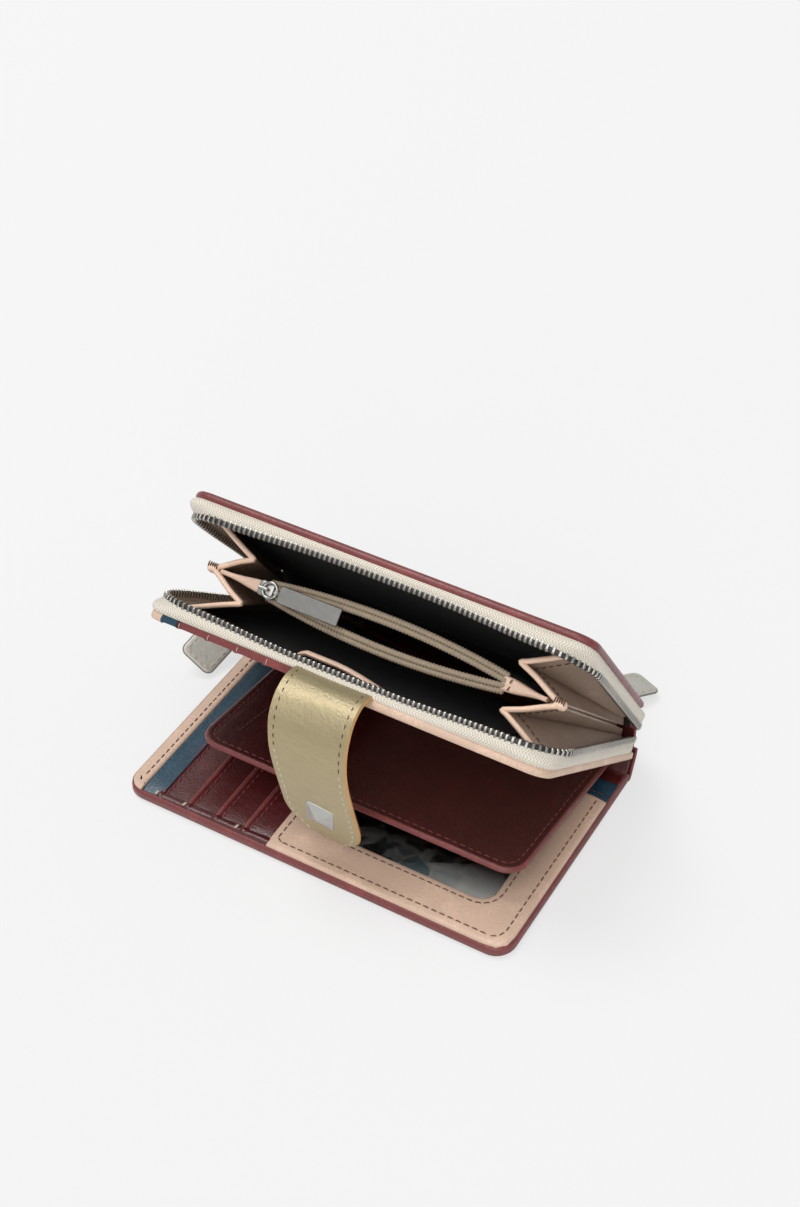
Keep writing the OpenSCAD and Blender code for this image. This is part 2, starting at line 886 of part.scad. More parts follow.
module snap_ball() {
    color(steel) in_strap_tip() translate([0, -stud_at, -strap_t / 2]) {
        translate([0, 0, -0.8]) cylinder(r = 5, h = 0.8);
        translate([0, 0, -2.2]) cylinder(r = 1.9, h = 1.5);
    }
}

front_cover_shell();
front_cover_board();
front_cover_lining();
tan_edge_strip();
teal_slot();
card_slot_1();
card_slot_2();
card_slot_3();
card_slot_4();
identity_frame();
window_film();
window_lining();
teal_band();
gutter_lining();
snap_socket();
spine_strip();
flap_upper_leather();
flap_lower_leather();
pouch_wall_board();
pouch_tan_edge();
pouch_teal_slot();
pouch_card_slot_1();
pouch_card_slot_2();
pouch_card_slot_3();
pouch_card_slot_4();
pouch_tan_panel();
pouch_lining();
pouch_base();
slip_pocket();
slip_pocket_binding();
lower_zip_tape();
lower_zip_teeth();
back_cover_shell();
back_cover_board();
back_cover_lining();
upper_zip_tape();
upper_zip_teeth();
coin_wall_lower();
coin_wall_upper();
coin_tape_lower();
coin_tape_upper();
coin_tab_left();
coin_tab_right();
gusset_left_lower();
gusset_left_upper();
gusset_right_lower();
gusset_right_upper();
coin_slider();
coin_pull_ring();
coin_pull_plate();
left_slider();
left_pull_ring();
left_pull_tag();
right_slider();
right_pull_ring();
right_pull_tag();
strap_base();
strap_tip();
stud();
snap_ball();
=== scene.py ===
# The looks of a coupon organizer wallet that stands open like a fan. It is laid
# out as an add-on and run as a script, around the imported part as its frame.
import math

import bmesh
import bpy
from bpy.props import FloatProperty, FloatVectorProperty, PointerProperty
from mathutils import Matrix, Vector, noise


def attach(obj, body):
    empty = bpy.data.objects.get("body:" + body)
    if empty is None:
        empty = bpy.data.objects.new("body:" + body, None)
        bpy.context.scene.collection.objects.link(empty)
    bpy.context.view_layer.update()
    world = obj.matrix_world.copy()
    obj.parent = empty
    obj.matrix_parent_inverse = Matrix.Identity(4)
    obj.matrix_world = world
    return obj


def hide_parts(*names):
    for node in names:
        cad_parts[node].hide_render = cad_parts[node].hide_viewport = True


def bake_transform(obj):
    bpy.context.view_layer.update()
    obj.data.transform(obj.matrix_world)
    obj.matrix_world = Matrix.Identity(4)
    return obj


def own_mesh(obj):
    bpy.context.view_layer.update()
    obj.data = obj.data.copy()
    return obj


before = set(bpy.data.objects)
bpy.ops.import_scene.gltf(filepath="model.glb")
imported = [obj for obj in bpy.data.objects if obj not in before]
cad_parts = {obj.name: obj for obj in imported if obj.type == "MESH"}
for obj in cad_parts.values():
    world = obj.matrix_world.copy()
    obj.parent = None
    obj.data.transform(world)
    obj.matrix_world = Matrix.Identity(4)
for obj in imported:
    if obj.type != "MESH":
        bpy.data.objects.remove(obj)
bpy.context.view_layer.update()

bl_info = {
    "name": "Coupon organizer wallet",
    "version": (1, 0, 0),
    "blender": (4, 5, 0),
    "location": "3D View > Sidebar > Wallet",
    "description": "Builds a zip-around organizer wallet round its packed part",
    "category": "Add Mesh",
}

MM = 0.001

# The front cover's layout, in millimetres, as in the part's source
COVER_HALF = 75
COVER_FRONT = -47.5
COVER_CORNER = 7.5
INNER_HALF = 74
INNER_FRONT = -46.5
FRAME_BACK = 28.5
TEAL_LEFT = -68
SLOT_LEFT = -62
SLOT_STEP = 11.5
SLOT_OVERLAP = 1.5
SLOTS = 4
FRAME_LEFT = -17
PANEL_LOW = 3.0
WINDOW = (-6, 60.5, -31.5, 15.5)
WINDOW_CORNER = 5.5

# The tilted walls and the zip's two rows
WALL_T = 3.0
LINING_HALF = 71.8
LINING_INSET = 3.2
LOWER_FRONT = -93.2
BACK_FRONT = -87.9
BACK_START = -6.8
ZIP_HALF = 73
ZIP_CORNER = 14
ZIP_BACK_CORNER = 4
ZIP_END = 36
TEETH_LOW = 6.6
FOOT_OUT = 1.3
FOOT_CORNER = 6.6


def srgb_linear(value):
    return value / 12.92 if value <= 0.04045 else ((value + 0.055) / 1.055) ** 2.4


def linear(colour):
    """Turn an sRGB hex colour such as #5e2226 to linear red, green and blue."""
    digits = colour.lstrip("#")
    return tuple(srgb_linear(int(digits[i:i + 2], 16) / 255) for i in (0, 2, 4))


def colour_property(name, description, default):
    return FloatVectorProperty(name=name, description=description, subtype="COLOR",
                               size=3, min=0, max=1, default=linear(default))


def length_property(name, description, default_mm):
    return FloatProperty(name=name, description=description, unit="LENGTH",
                         subtype="DISTANCE", precision=5, default=default_mm * MM)


class WalletColours(bpy.types.PropertyGroup):
    """The colours of the wallet's leathers, cloths and metals"""
    burgundy: colour_property("Burgundy", "Glazed leather of the covers", "#591e1f")
    # The rim colour is a lighter copy of the burgundy: a painted highlight on rounded
    # edges, fold ridges and front faces, where the glaze catches the lamps.
    rim: colour_property("Rim", "Burgundy leather where it is turned over", "#86403f")
    tan: colour_property("Tan", "Leather of the frame and the gussets", "#e2c2ab")
    teal: colour_property("Teal", "Leather of the slot and the band", "#1c465c")
    gold: colour_property("Gold", "Foiled leather of the strap", "#a89a78")
    pearl: colour_property("Pearl", "Foiled leather of the pull tags", "#c4c3bb")
    lining: colour_property("Lining", "Cloth inside the pouch", "#1d1715")
    print_ground: colour_property("Print ground", "Cloth under the window", "#ecebe6")
    print_teal: colour_property("Print", "Spots on the cloth", "#8fa9ac")
    tape: colour_property("Zip tape", "Woven tape of the zips", "#e6ddce")
    coil: colour_property("Coil", "Nylon coil of the coin zip", "#9c8c78")
    thread_dark: colour_property("Dark thread", "Thread on the tan leather", "#5c3a30")
    thread_red: colour_property("Red thread", "Thread on the burgundy", "#7d3a3c")
    thread_pale: colour_property("Pale thread", "Bar tacks", "#c9b9a4")
    edge_paint: colour_property("Edge paint", "Paint on the strap's edge", "#c49a64")
    tooth: colour_property("Teeth", "Antique plated zip teeth", "#b3afa8")
    nickel: colour_property("Nickel", "Sliders, rings and the stud", "#aeada9")


class WalletSizes(bpy.types.PropertyGroup):
    """The sizes of the wallet's fine details"""
    stitch_pitch: length_property("Stitch pitch", "From stitch to stitch", 3.0)
    stitch_width: length_property("Thread", "Thickness of the sewing thread", 0.45)
    tooth_pitch: length_property("Tooth pitch", "From tooth to tooth", 1.85)
    rib_pitch: length_property("Coil pitch", "From rib to rib of the coil", 1.15)
    grain: length_property("Grain", "Width of a grain of the leather", 0.7)


class Placed:
    """Anything whose at() turns its own coordinates to the shared frame."""

    def way(self, x, y, z):
        """The direction that three steps along its own axes give."""
        return self.at(x, y, z) - self.at(0, 0, 0)


class Wall(Placed):
    """A tilted wall: x along the spine, y back to its hinge, z off its face, in mm."""

    def __init__(self, y, z, tilt):
        self.y, self.z = y, z
        self.cos, self.sin = math.cos(math.radians(tilt)), math.sin(math.radians(tilt))

    def at(self, x, y, z):
        return Vector((x, self.y + y * self.cos + z * self.sin,
                       self.z - y * self.sin + z * self.cos))


COVER = Wall(0, 0, 0)
LOWER = Wall(46.95, 9.45, 37.9)
BACK = Wall(56.24, 27.39, 55.1)
FLAP = Wall(49.27, 8.6, 8.2)
PIVOT = (55.148, 14.283)
HALF_ANGLE = 8.6
MID = Wall(PIVOT[0], PIVOT[1], 46.5)


class Piece:
    """The points and faces of one piece in millimetres, with a finish for each face."""

    def __init__(self):
        self.points, self.uvs, self.faces, self.finishes = [], [], [], []

    def add(self, points, faces, finish=0, uvs=None):
        first = len(self.points)
        self.points += points
        self.uvs += uvs or [(p[0], p[1]) for p in points]
        self.faces += [[first + i for i in face] for face in faces]
        self.finishes += [finish] * len(faces)

    def bridge(self, rings, finish=0, closed=True, looped=False, capped=False,
               uvs=None):
        """Join rings of equal length, and cap the ends if asked."""
        n, faces = len(rings[0]), []
        for i in range(len(rings) if looped else len(rings) - 1):
            j = (i + 1) % len(rings)
            for k in range(n if closed else n - 1):
                m = (k + 1) % n
                faces.append([i * n + k, i * n + m, j * n + m, j * n + k])
        if capped:
            faces.append(list(range(n))[::-1])
            faces.append([(len(rings) - 1) * n + k for k in range(n)])
        self.add([p for ring in rings for p in ring], faces, finish, uvs)

    def sheet(self, grid, thickness, finish=0, edge=None, bulge=0.4, under=None):
        """A closed sheet round a grid of points, with softly rounded edges."""
        rows, cols = len(grid), len(grid[0])
        half, top, low, uvs = thickness / 2, [], [], []
        runs = [0]
        for i in range(1, rows):
            runs.append(runs[-1] + (grid[i][cols // 2] - grid[i - 1][cols // 2]).length)
        for i in range(rows):
            across = 0
            for k in range(cols):
                along = grid[min(i + 1, rows - 1)][k] - grid[max(i - 1, 0)][k]
                over = grid[i][min(k + 1, cols - 1)] - grid[i][max(k - 1, 0)]
                normal = over.cross(along).normalized() * half
                top.append(grid[i][k] + normal)
                low.append(grid[i][k] - normal)
                across += (grid[i][k] - grid[i][k - 1]).length if k else 0
                uvs.append((across, runs[i]))
        rim = ([(0, k) for k in range(cols)] + [(i, cols - 1) for i in range(1, rows)]
               + [(rows - 1, k) for k in range(cols - 2, -1, -1)]
               + [(i, 0) for i in range(rows - 2, 0, -1)])
        middle = []
        for i, k in rim:
            inner = grid[min(max(i, 1), rows - 2)][min(max(k, 1), cols - 2)]
            out = (grid[i][k] - inner).normalized() * thickness * bulge
            middle.append(grid[i][k] + out)
        n, faces = rows * cols, []
        for i in range(rows - 1):
            for k in range(cols - 1):
                a = i * cols + k
                faces.append([a, a + 1, a + cols + 1, a + cols])
                faces.append([n + a + cols, n + a + cols + 1, n + a + 1, n + a])
        self.add(top + low, faces, finish, uvs + uvs)
        if under is not None:
            self.finishes[1 - len(faces)::2] = [under] * (len(faces) // 2)
        first, edges = len(self.points) - 2 * n, []
        ring_top = [i * cols + k for i, k in rim]
        ring_low = [n + i for i in ring_top]
        start = len(self.points)
        self.points += middle
        self.uvs += [uvs[i] for i in ring_top]
        for a in range(len(rim)):
            b = (a + 1) % len(rim)
            edges.append([first + ring_top[b], first + ring_top[a], start + a, start + b])
            edges.append([start + b, start + a, first + ring_low[a], first + ring_low[b]])
        self.faces += edges
        self.finishes += [finish if edge is None else edge] * len(edges)

    def stack(self, wall, outline, profile, finish=0, edge=None, span=(0, 0)):
        """Rings of an outline, each with its inset and height, capped at both ends.

        The steps of the profile inside a span take the finish of the edge."""
        rings = [[wall.at(x, y, z) for x, y in inset_outline(outline, inset)]
                 for inset, z in profile]
        first = len(self.finishes)
        self.bridge(rings, finish, capped=True)
        for i in range(first + span[0] * len(outline), first + span[1] * len(outline)):
            self.finishes[i] = edge

    def slab(self, wall, outline, low, high, edge, finish=0, crown=0.0):
        """A flat panel with rounded edges, and a low crown on its top if asked."""
        e = min(edge, (high - low) / 2)
        profile = [(e * 3, low), (e, low), (0.3 * e, low + 0.3 * e), (0, low + e),
                   (0, high - e), (0.3 * e, high - 0.3 * e), (e, high)]
        profile += [(e + 1.5, high + crown * 0.6), (e + 4, high + crown)]
        self.stack(wall, outline, profile, finish)

    def tube(self, path, section, finish=0, looped=False, closed=True):
        """Sweep a section of (out, up) pairs along (point, out, up) stations."""
        rings = [[p + out * a + up * b for a, b in section] for p, out, up in path]
        run, uvs = 0.0, []
        for i, ring in enumerate(rings):
            run += (path[i][0] - path[i - 1][0]).length if i else 0
            uvs += [(k * 0.8, run) for k in range(len(ring))]
        self.bridge(rings, finish, closed, looped, capped=closed and not looped, uvs=uvs)

    def stitch(self, centre, along, up, length, width, finish=0):
        """One raised stitch: a short, thick thread that dips at its two ends."""
        along, up = along.normalized(), up.normalized()
        side = along.cross(up)
        rings = []
        for t, size, lift in ((-0.5, 0.35, -0.3), (-0.32, 0.9, 0.2), (0, 1.0, 0.42),
                              (0.32, 0.9, 0.2), (0.5, 0.35, -0.3)):
            mid = centre + along * (t * length) + up * (lift * width)
            rings.append([mid + (side * math.cos(a) + up * math.sin(a) * 0.8)
                          * (size * width / 2) for a in turn(6)])
        self.bridge(rings, finish, capped=True)

    def stitch_line(self, wall, path, height, finish=0, up=1, skip=0.5):
        """Stitches along points (x, y) of a wall, at a height over it or under it."""
        sizes = bpy.context.scene.wallet_sizes
        pitch, width = sizes.stitch_pitch / MM, sizes.stitch_width / MM
        line = resample(path, pitch)
        for (ax, ay), (bx, by) in zip(line, line[1:]):
            x, y = (ax + bx) / 2, (ay + by) / 2
            z = height(x, y) if callable(height) else height
            a, b = wall.at(ax, ay, z), wall.at(bx, by, z)
            self.stitch(wall.at(x, y, z), b - a, wall.way(0, 0, up),
                        pitch * (1 - skip * 0.4), width, finish)

    def done(self, name, finish_names, body=None, replaces=(), sharp=50):
        """Make the object, smooth but for its sharp edges, and give it its body."""
        mesh = bpy.data.meshes.new(name)
        mesh.from_pydata([Vector(p) * MM for p in self.points], [], self.faces)
        if mesh.validate(clean_customdata=False):
            raise RuntimeError(f"{name}: its mesh had faults")
        for polygon, finish in zip(mesh.polygons, self.finishes):
            polygon.material_index = finish
            polygon.use_smooth = True
        layer = mesh.uv_layers.new(name="millimetres")
        for loop in mesh.loops:
            layer.data[loop.index].uv = self.uvs[loop.vertex_index]
        fix_normals(mesh)
        mesh.set_sharp_from_angle(angle=math.radians(sharp))
        for finish in finish_names.split():
            mesh.materials.append(FINISHES[finish])
        piece = place(name, mesh)
        if body:
            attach(piece, body)
        if replaces:
            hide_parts(*replaces)
        return piece


def place(name, data):
    """A new object in the scene."""
    thing = bpy.data.objects.new(name, data)
    bpy.context.scene.collection.objects.link(thing)
    return thing


def fix_normals(mesh):
    """Turn the faces of each closed shell outwards."""
    work = bmesh.new()
    work.from_mesh(mesh)
    bmesh.ops.recalc_face_normals(work, faces=work.faces)
    work.to_mesh(mesh)
    work.free()


def inset_outline(outline, inset):
    """Move each side of a counter-clockwise outline inwards."""
    if not inset:
        return outline
    moved = []
    for i, (x, y) in enumerate(outline):
        ax, ay = outline[i - 1]
        bx, by = outline[(i + 1) % len(outline)]
        before = Vector((x - ax, y - ay)).normalized()
        after = Vector((bx - x, by - y)).normalized()
        n1, n2 = Vector((-before.y, before.x)), Vector((-after.y, after.x))
        both = n1 + n2
        shift = both * (inset / max(0.35, 1 + n1.dot(n2)))
        moved.append((x + shift.x, y + shift.y))
    return moved


def turn(steps):
    """The angles that divide a full turn evenly."""
    return [math.tau * k / steps for k in range(steps)]


def spread(low, high, count):
    """Values spaced evenly from low to high, both included."""
    return [low + (high - low) * i / count for i in range(count + 1)]


def arc(cx, cy, r, start, end, steps=8):
    return [(cx + r * math.cos(math.radians(start + (end - start) * i / steps)),
             cy + r * math.sin(math.radians(start + (end - start) * i / steps)))
            for i in range(steps + 1)]


def tab(left, right, front, back, r_left, r_right=None):
    """A counter-clockwise panel outline whose two front corners are rounded."""
    r_right = r_left if r_right is None else r_right
    first = arc(left + r_left, front + r_left, r_left, 180, 270) if r_left else [
        (left, front)]
    second = arc(right - r_right, front + r_right, r_right, 270, 360) if r_right else [
        (right, front)]
    return first + second + [(right, back), (left, back)]


def rounded(left, right, front, back, r):
    return (arc(left + r, front + r, r, 180, 270) + arc(right - r, front + r, r, 270, 360)
            + arc(right - r, back - r, r, 0, 90) + arc(left + r, back - r, r, 90, 180))


def resample(path, step):
    """Points evenly spaced along a line of points, about a step apart."""
    points = [Vector(p) for p in path]
    lengths = [0.0]
    for a, b in zip(points, points[1:]):
        lengths.append(lengths[-1] + (b - a).length)
    count = max(1, round(lengths[-1] / step))
    out, i = [], 0
    for k in range(count + 1):
        want = lengths[-1] * k / count
        while i < len(points) - 2 and lengths[i + 1] < want:
            i += 1
        span = lengths[i + 1] - lengths[i] or 1
        out.append(tuple(points[i].lerp(points[i + 1], (want - lengths[i]) / span)))
    return out


def smooth(low, high, value):
    t = min(1, max(0, (value - low) / (high - low)))
    return t * t * (3 - 2 * t)


def ripple(x, y, size, seed=0.0):
    """A soft, seeded unevenness between -1 and 1, of a size in millimetres."""
    return noise.noise(Vector((x / size, y / size, seed)))


# Materials


def add_node(tree, kind, inputs=None, **settings):
    """Add a node with its settings, and set or link its inputs."""
    node = tree.nodes.new(kind)
    for key, value in settings.items():
        setattr(node, key, value)
    for key, value in (inputs or {}).items():
        if isinstance(value, bpy.types.NodeSocket):
            tree.links.new(value, node.inputs[key])
        else:
            node.inputs[key].default_value = value
    return node


def shade(colour, factor):
    return tuple(min(1, channel * factor) for channel in colour)


class Look:
    """A material in the making: its tree, its shader and its coordinates."""

    def __init__(self, name, **shader):
        self.material = bpy.data.materials.new(name)
        self.material.use_nodes = True
        self.tree = self.material.node_tree
        self.shader = self.tree.nodes["Principled BSDF"]
        for key, value in shader.items():
            socket = self.shader.inputs[key.replace("_", " ")]
            socket.default_value = (*value, 1) if isinstance(value, tuple) else value
        coords = self.node("TexCoord").outputs
        self.place, self.uv = coords["Object"], coords["UV"]

    def node(self, kind, inputs=None, **settings):
        return add_node(self.tree, "ShaderNode" + kind, inputs, **settings)

    def link(self, output, name):
        self.tree.links.new(output, self.shader.inputs[name])

    def noise(self, size_mm, detail=2, **more):
        """Soft noise whose blots are of a size in millimetres."""
        return self.node("TexNoise", {"Vector": self.place, "Scale": 1 / (size_mm * MM),
                                      "Detail": detail, **more}).outputs[0]

    def cells(self, size_mm, inputs=None, **settings):
        """Cells of a size in millimetres, with the outputs of their node."""
        return self.node("TexVoronoi", {"Vector": self.place, "Scale": 1 / (size_mm * MM),
                                        **(inputs or {})}, **settings).outputs

    def waves(self, size_mm, direction, **inputs):
        """Straight waves of a pitch in millimetres."""
        return self.node("TexWave", {
            "Vector": self.place, "Scale": 0.314 / (size_mm * MM), **inputs},
            bands_direction=direction).outputs[1]

    def math(self, operation, *values, clamp=False):
        return self.node("Math", dict(enumerate(values)), operation=operation,
                         use_clamp=clamp).outputs[0]

    def remap(self, value, low, high, to_low=0.0, to_high=1.0):
        return self.node("MapRange", {"Value": value, "From Min": low, "From Max": high,
                                      "To Min": to_low, "To Max": to_high}).outputs[0]

    def tones(self, factor, low, high):
        """Mix two colours into the shader's base colour."""
        mix = self.node("Mix", {0: factor, 6: (*low, 1), 7: (*high, 1)},
                        data_type="RGBA")
        self.link(mix.outputs[2], "Base Color")

    def bump(self, height, depth_mm, strength=1.0, below=None):
        """Raise the surface by a height, over the bump that lies below it."""
        inputs = {"Height": height, "Distance": depth_mm * MM, "Strength": strength}
        if below:
            inputs["Normal"] = below
        normal = self.node("Bump", inputs).outputs["Normal"]
        self.link(normal, "Normal")
        return normal


def leather(name, colour, grain_mm, roughness, coat, depth=0.1, dark=0.72,
            light=1.22, wave=0.35):
    """Calf leather: pebbled grain, soft waves, and colour that pools in the pores."""
    look = Look(name, Roughness=roughness, IOR=1.5, Coat_Weight=coat,
                Coat_Roughness=0.22)
    grain = look.cells(grain_mm, {"Smoothness": 0.6}, feature="SMOOTH_F1")["Distance"]
    creases = look.noise(2.4, 5, Roughness=0.6)
    clouds = look.noise(9, 3)
    pores = look.math("SUBTRACT", look.remap(clouds, 0.3, 0.7), grain, clamp=True)
    look.tones(pores, shade(colour, dark), shade(colour, light))
    waves = look.bump(clouds, wave)
    folds = look.bump(creases, depth * 1.2, 0.7, waves)
    look.bump(grain, depth, 0.8, folds)
    look.link(look.remap(creases, 0.3, 0.7, roughness - 0.07, roughness + 0.09),
              "Roughness")
    return look.material


def foiled_leather(name, colour, crease_mm, roughness):
    """Leather with a metal foil: satin glints, and fine creases that run across."""
    look = Look(name, Roughness=roughness, Metallic=0.45)
    stretched = look.node("Mapping", {"Vector": look.uv,
                                      "Scale": (0.12, 1 / crease_mm, 1)})
    creases = look.node("TexNoise", {
        "Vector": stretched.outputs[0], "Scale": 1.0, "Detail": 6, "Roughness": 0.62,
        "Distortion": 0.4}).outputs[0]
    look.tones(look.remap(creases, 0.32, 0.68), shade(colour, 0.94), shade(colour, 1.06))
    folds = look.bump(creases, 0.05)
    puckers = look.bump(look.noise(1.3, 3), 0.16, 1.0, folds)
    look.bump(look.cells(0.55)["Distance"], 0.05, 0.6, puckers)
    return look.material


def woven_cloth(name, colour, other, yarn_mm, roughness=0.85):
    """Plain woven lining cloth: crossing yarns that catch a little light."""
    look = Look(name, Roughness=roughness, Sheen_Weight=0.08, Sheen_Roughness=0.4)
    cross = look.math("MULTIPLY", *(look.waves(yarn_mm, axis, Distortion=0.6, Detail=1)
                                    for axis in ("X", "Y")))
    look.tones(look.math("MULTIPLY", cross, look.noise(7)), colour, other)
    look.bump(cross, yarn_mm * 0.3)
    return look.material


def herringbone_tape(name, colour):
    """Polyester zip tape, woven in a herringbone whose ribs show as fine slants."""
    look = Look(name, Roughness=0.8, Sheen_Weight=0.3, Sheen_Roughness=0.4)
    across, along = look.node("SeparateXYZ", {0: look.uv}).outputs[:2]
    slant = look.math("ADD", along, look.math("PINGPONG", across, 1.2))
    ribs = look.math("SINE", look.math("MULTIPLY", slant, math.tau / 1.05))
    height = look.remap(ribs, -1.0, 1.0)
    look.tones(height, shade(colour, 0.72), shade(colour, 1.12))
    look.bump(height, 0.16)
    return look.material


def plated_metal(name, colour, roughness, scratch=0.02):
    """Plated zinc or brass: bright, with hairline scratches and cloudy wear."""
    look = Look(name, Roughness=roughness, Metallic=1.0)
    wear = look.noise(1.6, 5)
    look.link(look.remap(wear, 0.0, 1.0, roughness * 0.85, roughness * 1.2), "Roughness")
    look.tones(wear, shade(colour, 0.94), shade(colour, 1.05))
    look.bump(wear, scratch)
    return look.material


def twisted_thread(name, colour):
    """Bonded polyester thread: a waxy twist of three plies."""
    look = Look(name, Roughness=0.55)
    twist = look.waves(0.45, "DIAGONAL", Distortion=1.0)
    look.tones(twist, shade(colour, 0.7), shade(colour, 1.25))
    look.bump(twist, 0.06)
    return look.material


def edge_paint(name, colour):
    """Leather edge paint: thick, smooth and slightly uneven."""
    look = Look(name, Roughness=0.42, IOR=1.48)
    blobs = look.noise(1.8, 3)
    look.tones(blobs, shade(colour, 0.8), shade(colour, 1.15))
    look.bump(blobs, 0.12)
    return look.material


def printed_cloth(name, ground, spots):
    """Printed lining: patches of two tones on a pale weave, with fine pale seams."""
    look = Look(name, Roughness=0.7)
    cells = look.cells(12, {"Randomness": 0.9})
    pick = look.node("SeparateColor", {0: cells["Color"]}).outputs[0]
    seams = look.cells(12, {"Randomness": 0.9}, feature="DISTANCE_TO_EDGE")["Distance"]
    look.tones(look.math("MULTIPLY", look.remap(pick, 0.45, 0.75),
                         look.remap(seams, 0.01, 0.04)), ground, spots)
    look.bump(look.noise(0.6), 0.06)
    return look.material


def clear_film(name):
    """Soft PVC film: clear face on, with a gloss that grows towards a glance."""
    look = Look(name, Base_Color=(0.8, 0.82, 0.82), Roughness=0.09, Metallic=1.0)
    gloss = look.node("Fresnel", {"IOR": 1.53}).outputs[0]
    look.link(look.math("ADD", gloss, 0.03, clamp=True), "Alpha")
    look.bump(look.noise(16), 0.5)
    return look.material


def grey_board(name):
    """Pressed paper board, pale and fibrous. It shows only at a cut edge."""
    look = Look(name, Roughness=0.95)
    look.tones(look.noise(0.5, 4), linear("#8d867b"), linear("#b9b2a6"))
    return look.material


def coil_nylon(name, colour):
    """Moulded nylon coil with a soft shine."""
    look = Look(name, Roughness=0.45, IOR=1.53)
    look.tones(look.noise(0.9), shade(colour, 0.75), shade(colour, 1.2))
    return look.material


FINISHES = {}


def make_finishes():
    """All materials, by the plain name that the pieces use."""
    c = bpy.context.scene.wallet_colours
    grain = bpy.context.scene.wallet_sizes.grain / MM
    FINISHES.update({
        "burgundy": leather("glazed_calf_leather_burgundy", c.burgundy, grain,
                            0.36, 0.35),
        # A darker copy of the burgundy for the middle flap: painted shade, as the flap
        # lies under the pouch.
        "burgundy_deep": leather("glazed_calf_leather_burgundy_painted_shade",
                                 shade(c.burgundy, 0.6), grain, 0.36, 0.2),
        # A darker copy of the tan for the gussets' inner panels: painted shade, as they
        # lie deep inside the pouch.
        "tan_deep": leather("calf_leather_tan_painted_shade", shade(c.tan, 0.52), grain,
                            0.55, 0.05, dark=0.86, light=1.08, wave=0.2),
        # The lighter burgundy of rounded edges and fold ridges: a painted highlight.
        "rim": leather("burgundy_leather_painted_highlight", c.rim, grain, 0.42, 0.15),
        "tan": leather("calf_leather_tan", c.tan, grain, 0.5, 0.08, dark=0.84,
                       light=1.1, wave=0.2),
        # A lighter copy of the tan for the gussets' mouths and tacks: a painted
        # highlight.
        "tan_edge": leather("tan_leather_painted_highlight", shade(c.tan, 1.2), grain,
                            0.5, 0.1, dark=0.88, light=1.08, wave=0.1),
        "teal": leather("glazed_goat_leather_teal", c.teal, grain * 0.8, 0.36,
                        0.3),
        "gold": foiled_leather("foiled_goat_leather_gold", c.gold, 1.1, 0.4),
        "pearl": foiled_leather("foiled_leather_pearl", c.pearl, 2.2, 0.5),
        "lining": woven_cloth("woven_polyester_lining", c.lining,
                              shade(c.lining, 1.6), 0.45),
        "tape": herringbone_tape("herringbone_zip_tape", c.tape),
        "coil": coil_nylon("moulded_nylon_coil", c.coil),
        # The cord under the teeth is near black: painted shade in the gaps between the
        # teeth.
        "cord": coil_nylon("tape_cord_painted_shade", linear("#23211f")),
        "thread_dark": twisted_thread("bonded_thread_dark", c.thread_dark),
        "thread_red": twisted_thread("bonded_thread_red", c.thread_red),
        "thread_pale": twisted_thread("bonded_thread_pale", c.thread_pale),
        "edge": edge_paint("leather_edge_paint", c.edge_paint),
        "edge_dark": edge_paint("leather_edge_paint_grey", linear("#77736a")),
        "tooth": plated_metal("antique_nickel_plate", c.tooth, 0.28),
        "nickel": plated_metal("polished_nickel_plate", c.nickel, 0.22, 0.01),
        "satin": plated_metal("satin_nickel_plate", shade(c.nickel, 1.15), 0.38,
                              0.01),
        "print": printed_cloth("printed_polyester_lining", c.print_ground,
                               c.print_teal),
        "film": clear_film("clear_pvc_film"),
        "board": grey_board("pressed_paper_board"),
    })


def dress_node(node, finish):
    """Give a carried-over node of the part its material."""
    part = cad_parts[node]
    if not part.material_slots:
        part.data.materials.append(FINISHES[finish])
    for slot in part.material_slots:
        slot.material = FINISHES[finish]


# Shared shapes


def round_section(r, steps=10, squash=1.0):
    return [(math.cos(a) * r, math.sin(a) * r * squash) for a in turn(steps)]


def outward_path(wall, points, height):
    """Stations along points (x, y) of a wall, each with its outer side and its up."""
    stations = []
    for i, (x, y) in enumerate(points):
        ax, ay = points[max(0, i - 1)]
        bx, by = points[min(len(points) - 1, i + 1)]
        t = Vector((bx - ax, by - ay)).normalized()
        z = height(x, y) if callable(height) else height
        stations.append((wall.at(x, y, z), wall.way(t.y, -t.x, 0), wall.way(0, 0, 1)))
    return stations


